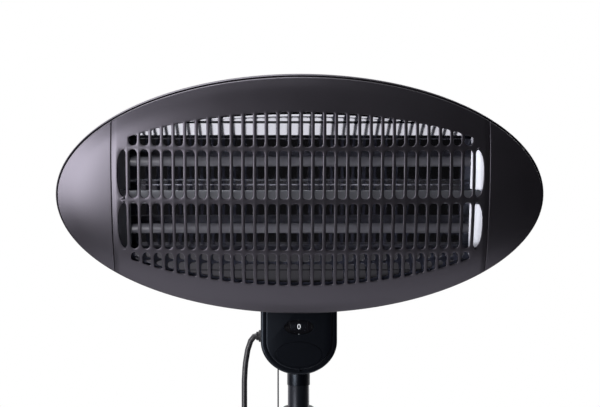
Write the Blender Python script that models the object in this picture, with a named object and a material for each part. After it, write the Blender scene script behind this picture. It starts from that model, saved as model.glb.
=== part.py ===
"""Free-standing oval quartz patio heater: tilting head on a telescopic pole with a weighted base.

Metres, +Z up.  The front faces -Y and the origin is the middle of the base on the floor.
The head is drawn in its own frame (X right, Y back, Z up, zero at the middle of its rim) and
hangs on an empty at its tilt axis, which leans it forward by HEAD_TILT.
"""
import math

import bmesh
import bpy
from mathutils import Vector

for old in list(bpy.data.objects):
    bpy.data.objects.remove(old, do_unlink=True)

# Driving dimensions
GAP = 0.0003
HEAD_WIDTH, HEAD_HEIGHT = 0.590, 0.295
DOME_RISE = 0.036
HOUSING_DEPTH = 0.048
HEAD_TILT = math.radians(12)
HEAD_CENTRE = Vector((0, -0.120, 1.560))
PIVOT = Vector((0, 0.008, 1.500))
RIM_WIDTH = 0.0045
SHEET = 0.001
SEAM_X = 0.2252
SLOT_PITCH, SLOT_WIDTH, SLOT_COLUMNS = 0.01375, 0.0096, 32
ROW_LEVELS = (0.0028, 0.0604, 0.0650)
SLOT_ARC = (0.288, 0.1058)
TUBE_Z, TUBE_Y, TUBE_RADIUS = 0.0413, 0.004, 0.006
LIP_Z, FLARE_SLOPE = 0.0738, 0.49
END_PLATE_X = 0.2225
BASE_RADIUS, BASE_TOP = 0.225, 0.034
POLE_RADIUS, POLE_BORE = 0.0175, 0.016
MAST_RADIUS = 0.014
POLE_JOINT_Z, POLE_TOP_Z = 0.650, 1.246
COLLAR_TOP_Z = 1.288
CLAMP_Z = 1.268
BOX_HALF_WIDTH, BOX_TOP, BOX_SHOULDER, BOX_DROP = 0.0491, 1.470, 1.3737, 0.043
BOX_SPLIT_Y, BOX_FRONT_Y, BOX_BACK_Y = -0.006, -0.028, 0.028
WINDOW_Z, BADGE_Z = 1.3923, 1.3572
NECK_RADIUS, NECK_BOTTOM_Z, NECK_TOP_Z = 0.0148, 1.3152, 1.3440
CORD_RADIUS, CORD_Y, GLAND_Z = 0.0037, 0.004, 1.378
PULL_X, PULL_Y = -0.0266, -0.012
COIL_CENTRE, COIL_RADIUS = Vector((-0.092, 0.092, 0)), 0.041


# Materials
def material(name, colour, roughness, metallic):
    made = bpy.data.materials.new(name)
    made.use_nodes = True
    shader = made.node_tree.nodes["Principled BSDF"]
    shader.inputs["Base Color"].default_value = (*colour, 1)
    shader.inputs["Roughness"].default_value = roughness
    shader.inputs["Metallic"].default_value = metallic
    return made


PAINT = material("anthracite_paint", (0.075, 0.07, 0.085), 0.35, 0.8)
BLACK_PLASTIC = material("black_plastic", (0.012, 0.012, 0.014), 0.3, 0)
POLISHED = material("polished_aluminium", (0.75, 0.76, 0.78), 0.12, 1)
STEEL = material("zinc_steel", (0.45, 0.46, 0.48), 0.35, 1)
QUARTZ = material("frosted_quartz", (0.75, 0.74, 0.74), 0.4, 0)
CERAMIC = material("white_ceramic", (0.8, 0.78, 0.72), 0.5, 0)
COIL_WIRE = material("resistance_wire", (0.25, 0.22, 0.2), 0.5, 1)
RUBBER = material("black_rubber", (0.015, 0.015, 0.016), 0.7, 0)
CLEAR = material("clear_window", (0.1, 0.1, 0.11), 0.05, 0)
WHITE_PLASTIC = material("white_plastic", (0.8, 0.8, 0.78), 0.4, 0)


# Shape tools
def finish(name, bm, look, parent=None, smooth=True):
    """Turns a bmesh into a named object, with its faces pointing out."""
    bmesh.ops.remove_doubles(bm, verts=bm.verts, dist=1e-7)
    bmesh.ops.recalc_face_normals(bm, faces=bm.faces)
    return finish_open(name, bm, look, parent, smooth)


def finish_open(name, bm, look, parent=None, smooth=True):
    """The same for a sheet that a Solidify will thicken: its normals are kept as drawn."""
    mesh = bpy.data.meshes.new(name)
    bm.to_mesh(mesh)
    bm.free()
    if smooth:
        mesh.shade_smooth()
        mesh.set_sharp_from_angle(angle=math.radians(35))
    mesh.materials.append(look)
    made = bpy.data.objects.new(name, mesh)
    bpy.context.collection.objects.link(made)
    made.parent = parent
    return made


def axis_empty(name, location, tilt=0.0, parent=None):
    made = bpy.data.objects.new(name, None)
    bpy.context.collection.objects.link(made)
    made.parent = parent
    made.location = location
    made.rotation_euler.x = tilt
    return made


def turned(name, profile, look, place=(0, 0, 0), steps=24, parent=None, along="Z"):
    """A lathe-turned solid: (radius, height) points, closed or running from axis to axis."""
    bm = bmesh.new()
    verts = [bm.verts.new((r, 0, h)) for r, h in profile]
    edges = [bm.edges.new(pair) for pair in zip(verts, verts[1:])]
    if profile[0][0] > 0 or profile[-1][0] > 0:
        edges.append(bm.edges.new((verts[-1], verts[0])))
    bmesh.ops.spin(bm, geom=verts + edges, axis=(0, 0, 1), cent=(0, 0, 0),
                   angle=math.tau, steps=steps, use_merge=True)
    bmesh.ops.remove_doubles(bm, verts=bm.verts, dist=1e-7)
    made = finish(name, bm, look, parent)
    made.location = place
    turns = {"Z": (0, 0, 0), "X": (0, math.pi / 2, 0), "Y": (-math.pi / 2, 0, 0)}
    made.rotation_euler = turns[along]
    return made


def ring(name, outer, inner, low, high, look, **more):
    profile = ((outer, low), (outer, high), (inner, high), (inner, low))
    return turned(name, profile, look, **more)


def rod(name, radius, low, high, look, **more):
    return turned(name, ((0, low), (radius, low), (radius, high), (0, high)), look, **more)


def loft(name, rings, look, parent=None, capped=True, smooth=True):
    """Skins rings with equal point counts, with its ends capped or joined into a loop."""
    bm = bmesh.new()
    loops = [[bm.verts.new(point) for point in points] for points in rings]
    pairs = list(zip(loops, loops[1:]))
    if not capped:
        pairs.append((loops[-1], loops[0]))
    for first, second in pairs:
        for i in range(len(first)):
            j = (i + 1) % len(first)
            bm.faces.new((first[i], first[j], second[j], second[i]))
    if capped:
        bm.faces.new(loops[0])
        bm.faces.new(loops[-1])
    return finish(name, bm, look, parent, smooth)


def block(name, low, high, look, parent=None, bevel=0.0):
    """A rectangular piece between two corners."""
    bm = bmesh.new()
    bmesh.ops.create_cube(bm, size=1)
    low, high = Vector(low), Vector(high)
    bmesh.ops.scale(bm, vec=high - low, verts=bm.verts)
    bmesh.ops.translate(bm, vec=(low + high) / 2, verts=bm.verts)
    if bevel:
        bmesh.ops.bevel(bm, geom=bm.edges, offset=bevel, segments=1, affect="EDGES")
    return finish(name, bm, look, parent, smooth=False)


def prism(name, outline, start, end, look, parent=None, smooth=True):
    """A flat outline of (y, z) points extruded along X."""
    bm = bmesh.new()
    face = bm.faces.new([bm.verts.new((start, y, z)) for y, z in outline])
    grown = bmesh.ops.extrude_face_region(bm, geom=[face])["geom"]
    moved = [v for v in grown if isinstance(v, bmesh.types.BMVert)]
    bmesh.ops.translate(bm, vec=(end - start, 0, 0), verts=moved)
    return finish(name, bm, look, parent, smooth)


def thicken(made, thickness):
    solid = made.modifiers.new("thickness", "SOLIDIFY")
    solid.thickness = thickness
    solid.offset = -1
    return made


def combine(made, other, operation):
    """Cuts a guide out of a piece, or joins it on."""
    other.hide_render = True
    other.display_type = "WIRE"
    step = made.modifiers.new(other.name, "BOOLEAN")
    step.operation = operation
    step.object = other
    return made


def smooth_route(points, spacing):
    """Points read along a smooth curve through the route's own points."""
    route = [Vector(p) for p in points]
    route = [2 * route[0] - route[1]] + route + [2 * route[-1] - route[-2]]
    out = []
    for a, b, c, d in zip(route, route[1:], route[2:], route[3:]):
        count = max(1, round((c - b).length / spacing))
        for i in range(count):
            t = i / count
            bend = (a * -1 + b * 3 - c * 3 + d) * t ** 3
            out.append(0.5 * (bend + (a * 2 - b * 5 + c * 4 - d) * t * t + (c - a) * t + b * 2))
    return out + [route[-2]]


def round_bar(name, points, radius, look, parent=None, resolution=2):
    """A cord or a bent wire: a curve with a round section and closed ends."""
    curve = bpy.data.curves.new(name, "CURVE")
    curve.dimensions = "3D"
    curve.bevel_depth = radius
    curve.bevel_resolution = resolution
    curve.use_fill_caps = True
    spline = curve.splines.new("POLY")
    spline.points.add(len(points) - 1)
    for place, point in zip(spline.points, points):
        place.co = (*point, 1)
    curve.materials.append(look)
    made = bpy.data.objects.new(name, curve)
    bpy.context.collection.objects.link(made)
    made.parent = parent
    return made


def lobed(name, radius, depth, lobes, low, high, look, **more):
    """A hand knob's head: a scalloped outline along its own Z."""
    outline = []
    for i in range(lobes * 4):
        angle = math.tau * i / (lobes * 4)
        reach = radius - depth * (0.5 - 0.5 * math.cos(lobes * angle))
        outline.append((reach * math.cos(angle), reach * math.sin(angle)))
    chamfer = 0.0015
    levels = ((low, chamfer), (low + chamfer, 0), (high - chamfer, 0), (high, chamfer))
    rings = [[(x * (1 - cut / radius), y * (1 - cut / radius), z) for x, y in outline]
             for z, cut in levels]
    return loft(name, rings, look, **more)


# Base: a pressed cover over a steel ballast plate on four rubber feet
def base_cover():
    wall = 0.0015
    outside = ((0.046, 0.034), (0.207, 0.034), (0.2215, 0.025), (BASE_RADIUS, 0.018),
               (BASE_RADIUS, 0.004))
    inside = ((BASE_RADIUS - wall, 0.004), (BASE_RADIUS - wall, 0.0178), (0.2203, 0.0238),
              (0.2066, 0.034 - wall), (0.046, 0.034 - wall))
    hole = ((0.0052, 0.034 - wall), (0.0052, 0.034))
    return turned("base_cover", outside + inside + hole, PAINT, steps=44)


def base_pieces():
    base_cover()
    ballast = ((0.0052, 0.010), (0.210, 0.010), (0.210, 0.018), (0.035, 0.018),
               (0.035, 0.0322), (0.0052, 0.0322))
    turned("ballast_plate", ballast, STEEL, steps=32)
    for i in range(4):
        angle = math.tau * (i + 0.5) / 4
        place = (0.185 * math.cos(angle), 0.185 * math.sin(angle), 0)
        foot = ((0, 0), (0.014, 0), (0.016, 0.0097), (0, 0.0097))
        turned(f"base_foot_{i + 1}", foot, RUBBER, place=place, steps=16)
    bolt = ((0, 0.0037), (0.0085, 0.0037), (0.0085, 0.0097), (0.0048, 0.0097),
            (0.0048, 0.058), (0, 0.058))
    turned("base_bolt", bolt, STEEL, steps=12)
    floor = BASE_TOP + GAP
    socket = ((0.0052, floor), (0.044, floor), (0.044, floor + 0.003), (0.024, floor + 0.008),
              (0.0205, floor + 0.014), (0.0205, floor + 0.062), (POLE_RADIUS + GAP, floor + 0.062),
              (POLE_RADIUS + GAP, floor + 0.012), (0.0052, floor + 0.012))
    turned("base_socket", socket, PAINT, steps=24)


# Pole: two steel tubes on a joining sleeve, with a clamp collar and a nylon guide at the top
def pole_pieces():
    ring("lower_pole", POLE_RADIUS, POLE_BORE, BASE_TOP + 0.013, POLE_JOINT_Z - GAP / 2, PAINT,
         steps=28)
    ring("upper_pole", POLE_RADIUS, POLE_BORE, POLE_JOINT_Z + GAP / 2, POLE_TOP_Z, PAINT, steps=28)
    ring("pole_joiner", POLE_BORE - GAP, 0.0142, POLE_JOINT_Z - 0.05, POLE_JOINT_Z + 0.05, STEEL,
         steps=24)
    ring("guide_bush", POLE_BORE - GAP, MAST_RADIUS + GAP, 1.150, POLE_TOP_Z, BLACK_PLASTIC,
         steps=24)
    collar = ((POLE_RADIUS + GAP, 1.213), (0.0215, 1.213), (0.0225, 1.217), (0.0225, 1.279),
              (0.0212, 1.2845), (0.0180, COLLAR_TOP_Z), (MAST_RADIUS + GAP, COLLAR_TOP_Z),
              (MAST_RADIUS + GAP, POLE_TOP_Z + 0.0005), (POLE_RADIUS + GAP, POLE_TOP_Z + 0.0005))
    body = turned("clamp_collar", collar, BLACK_PLASTIC, steps=28)
    boss = rod("clamp_boss", 0.010, 0.0165, 0.031, BLACK_PLASTIC, place=(0, 0, CLAMP_Z),
               along="Y", steps=20)
    hole = rod("clamp_hole", 0.0043, 0.005, 0.036, BLACK_PLASTIC, place=(0, 0, CLAMP_Z),
               along="Y", steps=16)
    bore = rod("clamp_bore", MAST_RADIUS + GAP, 1.25, 1.30, BLACK_PLASTIC, steps=28)
    combine(body, boss, "UNION")
    combine(body, bore, "DIFFERENCE")
    combine(body, hole, "DIFFERENCE")
    knob = lobed("clamp_knob", 0.020, 0.003, 6, 0.0335, 0.053, BLACK_PLASTIC)
    stud = rod("clamp_stud", 0.004, MAST_RADIUS + 2 * GAP, 0.036, STEEL, steps=12)
    for piece in (knob, stud):
        piece.location = (0, 0, CLAMP_Z)
        piece.rotation_euler.x = -math.pi / 2
    combine(knob, stud, "UNION")


# Switch box on top of the sliding mast
def box_outline(inset, y):
    """The box seen from the front: straight sides, rounded top corners, half-oval bottom."""
    wide = BOX_HALF_WIDTH - inset
    drop = BOX_DROP - inset
    corner = max(0.012 - inset, 0.002)
    points = []
    for i in range(21):
        angle = math.pi * i / 20
        points.append((wide * math.cos(angle), y, BOX_SHOULDER - drop * math.sin(angle)))
    for side, start in ((-1, math.pi), (1, math.pi / 2)):
        for i in range(4):
            angle = start - math.pi / 2 * i / 3
            x = side * (wide - corner) + corner * math.cos(angle)
            points.append((x, y, BOX_TOP - inset - corner + corner * math.sin(angle)))
    return points


def oval_plate(name, wide, high, z, near, far, look):
    def outline(y):
        turns = [math.tau * i / 24 for i in range(24)]
        return [(wide * math.cos(t), y, z + high * math.sin(t)) for t in turns]
    return loft(name, [outline(near), outline(far)], look)


def switch_box_pieces():
    neck_hole = rod("neck_hole", NECK_RADIUS + GAP, 1.30, 1.352, BLACK_PLASTIC, steps=28)
    lug_hole = block("lug_hole", (-0.0145, 0.0025, 1.45), (0.0145, 0.0135, 1.48), BLACK_PLASTIC)
    gland_hole = rod("gland_hole", 0.0056, -0.06, -0.04, BLACK_PLASTIC,
                     place=(0, CORD_Y, GLAND_Z), along="X", steps=16)
    pull_hole = rod("pull_hole", 0.0025, 1.32, 1.35, BLACK_PLASTIC, place=(PULL_X, PULL_Y, 0),
                    steps=12)
    window_hole = oval_plate("window_hole", 0.0188, 0.0095, WINDOW_Z, -0.03, -0.02, BLACK_PLASTIC)
    badge_pocket = oval_plate("badge_pocket", 0.030, 0.0167, BADGE_Z, -0.03, -0.0268,
                              BLACK_PLASTIC)

    wall = 0.0025
    rear_rings = ((wall, BOX_BACK_Y - wall), (wall, BOX_SPLIT_Y), (0, BOX_SPLIT_Y),
                  (0, BOX_BACK_Y - 0.004), (0.001, BOX_BACK_Y - 0.001), (0.004, BOX_BACK_Y))
    rear = loft("switch_box_rear", [box_outline(*r) for r in rear_rings], BLACK_PLASTIC)
    for guide in (neck_hole, lug_hole, gland_hole):
        combine(rear, guide, "DIFFERENCE")

    edge = BOX_SPLIT_Y - GAP
    front_rings = ((0.0095, BOX_FRONT_Y + wall), (0.0045, -0.0218), (wall, -0.0205), (wall, edge),
                   (0, edge), (0, -0.0225), (0.0015, -0.0243), (0.0072, -0.0247),
                   (0.0076, -0.0276), (0.0085, BOX_FRONT_Y))
    front = loft("switch_box_front", [box_outline(*r) for r in front_rings], BLACK_PLASTIC)
    for guide in (neck_hole, window_hole, badge_pocket, pull_hole):
        combine(front, guide, "DIFFERENCE")

    oval_plate("indicator_window", 0.0184, 0.0091, WINDOW_Z, -0.0276, -0.0256, CLEAR)
    oval_plate("badge_plate", 0.0296, 0.0163, BADGE_Z, -0.0277, -0.0271, BLACK_PLASTIC)
    block("pull_switch", (-0.041, -0.019, 1.3565), (-0.0138, -0.002, 1.392), WHITE_PLASTIC)
    block("terminal_block", (0.016, 0.006, 1.386), (0.042, 0.018, 1.410), WHITE_PLASTIC)
    block("tip_over_switch", (-0.040, 0.004, 1.420), (-0.018, 0.020, 1.446), WHITE_PLASTIC)
    rod("indicator_drum", 0.0102, -0.011, 0.011, BLACK_PLASTIC, along="X", steps=20,
        place=(0, -0.0135, WINDOW_Z))

    gland = ((0, 0.032), (0.0046, 0.032), (0.0052, 0.043), (0.0052, 0.0494), (0.0075, 0.0494),
             (0.0075, 0.0514), (0.0058, 0.0524), (0.0052, 0.0542), (0, 0.0542))
    piece = turned("cord_gland", gland, RUBBER, place=(0, CORD_Y, GLAND_Z), steps=18)
    piece.rotation_euler.y = -math.pi / 2

    rod("box_screw_upper", 0.0032, 0.0284, 0.031, STEEL, place=(0, 0, 1.452), along="Y", steps=10)
    rod("box_screw_lower", 0.0032, 0.0284, 0.031, STEEL, place=(0, 0, 1.362), along="Y", steps=10)


def mast_pieces():
    ring("sliding_mast", MAST_RADIUS, 0.0128, 0.900, NECK_TOP_Z - 0.003, PAINT, steps=28)
    neck = ((MAST_RADIUS + GAP, NECK_BOTTOM_Z), (NECK_RADIUS, NECK_BOTTOM_Z),
            (NECK_RADIUS, NECK_TOP_Z), (0, NECK_TOP_Z), (0, NECK_TOP_Z - 0.0027),
            (MAST_RADIUS + GAP, NECK_TOP_Z - 0.0027))
    turned("neck_socket", neck, BLACK_PLASTIC, steps=28)
    low = NECK_TOP_Z + GAP
    outline = [(PIVOT.y - 0.004, low), (PIVOT.y + 0.004, low)]
    for i in range(13):
        angle = math.radians(-70 + 320 * i / 12)
        outline.append((PIVOT.y + 0.012 * math.cos(angle), PIVOT.z + 0.012 * math.sin(angle)))
    lug = prism("tilt_lug", outline, -0.013, 0.013, STEEL, smooth=False)
    bolt_hole = rod("lug_bolt_hole", 0.0053, -0.02, 0.02, STEEL, place=PIVOT, along="X", steps=20)
    combine(lug, bolt_hole, "DIFFERENCE")


# Head shells: dome grille, two end caps, rim band and rear housing
def dome(x, z):
    """How far the front bulges forward of the rim plane."""
    flat = (2 * x / HEAD_WIDTH) ** 2 + (2 * z / HEAD_HEIGHT) ** 2
    return DOME_RISE * math.sqrt(max(0.0, 1 - flat))


def front_edge(x):
    """Height of the front panels' edge, just inside the rim band."""
    wide = HEAD_WIDTH / 2 - RIM_WIDTH
    high = HEAD_HEIGHT / 2 - RIM_WIDTH
    return high * math.sqrt(1 - (x / wide) ** 2)


def slot_arc(x):
    """Height of the outer ends of the slots, on an oval inside the rim."""
    wide, high = SLOT_ARC
    return high * math.sqrt(1 - (x / wide) ** 2)


def sheet_of(name, columns, skip, look, parent, thickness=SHEET):
    """A dome sheet through columns of (x, z) points, left open where skip says."""
    bm = bmesh.new()
    grid = [[bm.verts.new((x, -dome(x, z), z)) for x, z in column] for column in columns]
    for i, (left, right) in enumerate(zip(grid, grid[1:])):
        for j in range(len(left) - 1):
            if not skip(i, j):
                bm.faces.new((left[j], right[j], right[j + 1], left[j + 1]))
    return thicken(finish_open(name, bm, look, parent), thickness)


def grille_lines():
    """X of the seams and of both sides of each slot."""
    lines = [-SEAM_X]
    for i in range(SLOT_COLUMNS):
        middle = (i - (SLOT_COLUMNS - 1) / 2) * SLOT_PITCH
        lines += [middle - SLOT_WIDTH / 2, middle + SLOT_WIDTH / 2]
    return lines + [SEAM_X]


def front_grille(head):
    lines = grille_lines()
    outer = (1, len(lines) - 2)
    columns = []
    for i, x in enumerate(lines):
        upper = [*ROW_LEVELS, slot_arc(x), front_edge(x)]
        levels = [-z for z in reversed(upper)] + upper
        pinch = {ROW_LEVELS[1]: 0.972} if i in outer else {}
        columns.append([(x * pinch.get(abs(z), 1), z) for z in levels])

    def is_slot(i, j):
        if i % 2 == 0:
            return False
        end_column = i in (1, len(lines) - 3)
        return j in ((3, 5) if end_column else (1, 3, 5, 7))

    return sheet_of("front_grille", columns, is_slot, PAINT, head)


def end_cap(name, side, head):
    reach = HEAD_WIDTH / 2 - RIM_WIDTH
    first = SEAM_X + 0.0015
    columns = []
    for i in range(8):
        x = first + (reach - 0.0004 - first) * math.sin(math.pi / 2 * i / 7)
        high = front_edge(x)
        levels = [high * math.sin(math.pi / 2 * k / 5) for k in range(-5, 6)]
        columns.append([(side * x, z) for z in levels])
    if side < 0:
        columns.reverse()
    return sheet_of(name, columns, lambda i, j: False, PAINT, head)


def oval(inset, y, scale=1.0, count=48):
    wide = (HEAD_WIDTH / 2 - inset) * scale
    high = (HEAD_HEIGHT / 2 - inset) * scale
    turns = [math.tau * i / count for i in range(count)]
    return [(wide * math.cos(t), y, high * math.sin(t)) for t in turns]


def head_shells(head):
    front_grille(head)
    end_cap("end_cap_left", -1, head)
    end_cap("end_cap_right", 1, head)
    lip = RIM_WIDTH - GAP
    band = ((0, 0), (0, -0.0035), (0.0012, -0.0055), (lip - 0.0008, -0.0055), (lip, -0.0045),
            (lip, 0))
    loft("rim_band", [oval(inset, y) for inset, y in band], PAINT, head, capped=False)

    def bowl(scale):
        return HOUSING_DEPTH * math.sqrt(1 - scale ** 4)
    wall = 0.0014
    steps = (0.99, 0.95, 0.87, 0.72, 0.50, 0.30)
    inner = [oval(0, bowl(s) - wall, s - 0.006) for s in reversed(steps)]
    mouth = [oval(0, GAP, 0.982), oval(0, GAP, 1.0), oval(0, 0.003, 1.0)]
    outer = [oval(0, bowl(s), s) for s in steps]
    loft("rear_housing", inner + mouth + outer, PAINT, head)


# Heating unit: two quartz tubes in folded reflectors between two end plates
def reflector(name, side, head):
    """A square trough behind a tube, and a flare from its lip towards the grille."""
    length = END_PLATE_X - 0.0008
    bm = bmesh.new()
    grid = []
    count = 12
    for i in range(count + 1):
        x = length * (2 * i / count - 1)
        flare_z = max(slot_arc(x) + 0.0035, LIP_Z + 0.0015)
        trough = ((0.0008, -0.0065), (0.0078, -0.0065), (0.0084, 0.0275), (0.0656, 0.0275),
                  (LIP_Z, 0.0), (flare_z, FLARE_SLOPE * (LIP_Z - flare_z)))
        grid.append([bm.verts.new((x, y, side * z)) for z, y in trough])
    for left, right in zip(grid, grid[1:]):
        for j in range(len(left) - 1):
            corners = (left[j], right[j], right[j + 1], left[j + 1])
            bm.faces.new(corners if side > 0 else tuple(reversed(corners)))
    return thicken(finish_open(name, bm, POLISHED, head, smooth=False), 0.0007)


def end_plate(name, side, head):
    outline = ((-0.0100, -0.0735), (0.001, -0.0742), (0.0272, -0.0645), (0.0272, 0.0645),
               (0.001, 0.0742), (-0.0100, 0.0735), (-0.0180, 0.035), (-0.0205, 0.0),
               (-0.0180, -0.035))
    plate = prism(name, outline, side * END_PLATE_X, side * (END_PLATE_X + 0.001), POLISHED, head,
                  smooth=False)
    for row in (-1, 1):
        hole = rod(f"{name}_hole_{row + 2}", TUBE_RADIUS + 0.0005, 0.215, 0.230, POLISHED,
                   steps=16, parent=head)
        hole.location = (0, TUBE_Y, row * TUBE_Z)
        hole.rotation_euler.y = side * math.pi / 2
        combine(plate, hole, "DIFFERENCE")
    return plate


def heating_pieces(head):
    reflector("reflector_upper", 1, head)
    reflector("reflector_lower", -1, head)
    end_plate("reflector_end_left", -1, head)
    end_plate("reflector_end_right", 1, head)
    for word, row in (("upper", 1), ("lower", -1)):
        place = (0, TUBE_Y, row * TUBE_Z)
        ring(f"quartz_tube_{word}", TUBE_RADIUS, TUBE_RADIUS - 0.001, -0.231, 0.231, QUARTZ,
             place=place, along="X", steps=20, parent=head)
        rod(f"heating_coil_{word}", 0.0035, -0.222, 0.222, COIL_WIRE, place=place, along="X",
            steps=12, parent=head)
        for hand, side in (("left", -1), ("right", 1)):
            bore = TUBE_RADIUS + GAP
            cup = ((bore, 0.2238), (0.0095, 0.2238), (0.0095, 0.237), (0, 0.237), (0, 0.2315),
                   (bore, 0.2315))
            piece = turned(f"tube_holder_{word}_{hand}", cup, CERAMIC, steps=16, parent=head)
            piece.location = place
            piece.rotation_euler.y = side * math.pi / 2
        wire = [(x, -0.0096, row * 0.0904) for x in (-0.160, -0.080, 0.0, 0.080, 0.160)]
        round_bar(f"guard_rod_{word}", wire, 0.0008, STEEL, head)


# Tilt joint behind the head: a steel fork on the housing, a bolt and a hand knob
def fork(head, pivot):
    """A U bracket: a plate on the housing and two ears that reach back to the bolt."""
    plate_y = HOUSING_DEPTH + GAP
    high, low = -0.012, -0.062
    bend = 0.003
    ear = [(plate_y, low), (plate_y, high), (plate_y + 0.030, high)]
    for i in range(9):
        angle = math.radians(70 - 160 * i / 8 + 10)
        ear.append((pivot.y + 0.014 * math.cos(angle), pivot.z + 0.014 * math.sin(angle)))
    ear.append((plate_y + 0.012, low - 0.006))
    body = block("tilt_fork", (-0.0184, plate_y, low), (0.0184, plate_y + bend, high), PAINT, head)
    for side in (-1, 1):
        name = f"fork_ear_{side + 2}"
        cheek = prism(name, ear, side * 0.0154, side * 0.0184, PAINT, head, smooth=False)
        combine(body, cheek, "UNION")
    hole = rod("fork_bolt_hole", 0.0053, -0.03, 0.03, PAINT, steps=20, parent=head, along="X",
               place=pivot)
    combine(body, hole, "DIFFERENCE")
    return body


def tilt_pieces(head, pivot):
    fork(head, pivot)
    for word, x in (("left", -0.009), ("right", 0.009)):
        head_y = HOUSING_DEPTH + 0.0036
        rod(f"fork_screw_{word}", 0.004, head_y, head_y + 0.0028, STEEL, place=(x, 0, -0.037),
            along="Y", steps=12, parent=head)
    bolt = ((0, -0.0245), (0.0085, -0.0245), (0.0085, -0.0187), (0.005, -0.0187),
            (0.005, 0.030), (0, 0.030))
    turned("pivot_bolt", bolt, STEEL, place=pivot, along="X", steps=16, parent=head)
    ring("pivot_washer", 0.010, 0.0053, 0.0187, 0.0202, STEEL, place=pivot, along="X", steps=20,
         parent=head)
    knob = lobed("tilt_knob", 0.019, 0.003, 6, 0.0205, 0.042, BLACK_PLASTIC, parent=head)
    bore = rod("tilt_knob_bore", 0.0053, 0.015, 0.0305, BLACK_PLASTIC, steps=20, parent=head)
    for piece in (knob, bore):
        piece.location = pivot
        piece.rotation_euler.y = math.pi / 2
    combine(knob, bore, "DIFFERENCE")


# Pull cord with its bell-shaped pull, and the mains cord with its coil, tie and plug
def pull_pieces():
    top, bottom = 1.3560, 0.880
    count = 12
    line = [(PULL_X, PULL_Y, top + (bottom - top) * i / count) for i in range(count + 1)]
    round_bar("pull_cord", line, 0.00095, RUBBER)
    bell = ((0, 0), (0.0035, 0), (0.0045, -0.005), (0.0055, -0.016), (0.0088, -0.031),
            (0.0095, -0.037), (0.0088, -0.0395), (0, -0.0395))
    turned("pull_knob", bell, BLACK_PLASTIC, place=(PULL_X, PULL_Y, bottom - GAP), steps=18)


def mains_pieces():
    lie = BASE_TOP + GAP + CORD_RADIUS
    route = ((-0.0548, CORD_Y, GLAND_Z), (-0.0574, CORD_Y, 1.3777), (-0.0622, CORD_Y, 1.3718),
             (-0.0661, CORD_Y, 1.3600),
             (-0.0687, CORD_Y, 1.3442), (-0.0702, CORD_Y, 1.3228), (-0.0704, CORD_Y, 1.2851),
             (-0.0704, CORD_Y, 1.00), (-0.0706, CORD_Y, 0.60), (-0.0710, 0.0045, 0.25),
             (-0.0730, 0.006, 0.12), (-0.0820, 0.009, 0.065), (-0.1000, 0.016, lie + 0.004),
             (-0.1240, 0.032, lie), (-0.1400, 0.054, lie), (-0.1450, 0.078, lie))
    round_bar("mains_cord", smooth_route(route, 0.021), CORD_RADIUS, RUBBER)
    low = BASE_TOP + 0.0018
    ring("mains_coil", COIL_RADIUS + 0.0075, COIL_RADIUS - 0.0075, low, low + 0.0150, RUBBER,
         place=COIL_CENTRE, steps=32)
    tail = ((-0.0950, 0.1450, lie + 0.002), (-0.0700, 0.1480, lie + 0.002),
            (-0.0300, 0.1500, lie + 0.004), (0.0050, 0.1440, lie + 0.010),
            (0.0280, 0.1400, BASE_TOP + 0.0185), (0.0447, 0.1400, BASE_TOP + 0.0185))
    round_bar("mains_tail", smooth_route(tail, 0.018), CORD_RADIUS, RUBBER)
    plug = ((0, 0.045), (0.0058, 0.045), (0.0065, 0.058), (0.0165, 0.066), (0.018, 0.070),
            (0.018, 0.092), (0.0172, 0.094), (0, 0.094))
    body = turned("mains_plug", plug, RUBBER, place=(0, 0.140, BASE_TOP + 0.0185), along="X",
                  steps=24)
    for i, side in enumerate((-1, 1)):
        pin = rod(f"plug_pin_{i + 1}", 0.0024, 0.090, 0.113, STEEL, along="X", steps=10,
                  place=(0, 0.140 + side * 0.0095, BASE_TOP + 0.0185))
        combine(body, pin, "UNION")
    near = COIL_CENTRE.y - COIL_RADIUS
    tie = block("coil_tie", (-0.100, near - 0.0098, BASE_TOP + GAP), (-0.084, near + 0.0098, 0.053),
                RUBBER)
    core = block("tie_core", (-0.110, near - 0.0086, BASE_TOP + 0.0013),
                 (-0.074, near + 0.0086, 0.052), RUBBER)
    combine(tie, core, "DIFFERENCE")


base_pieces()
pole_pieces()
mast_pieces()
switch_box_pieces()
pivot_empty = axis_empty("head_tilt_axis", PIVOT, HEAD_TILT)
lean = (HEAD_CENTRE - PIVOT)
lean.rotate(pivot_empty.rotation_euler.to_matrix().inverted())
head_frame = axis_empty("head_frame", lean, parent=pivot_empty)
head_shells(head_frame)
heating_pieces(head_frame)
tilt_pieces(head_frame, -lean)
pull_pieces()
mains_pieces()
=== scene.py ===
"""Oval quartz patio heater: the looks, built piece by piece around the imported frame.

The heater faces -Y and stands on the floor at z = 0.  Sizes are in metres.
"""
import math

import bmesh
import bpy
from mathutils import Matrix, Vector


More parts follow.
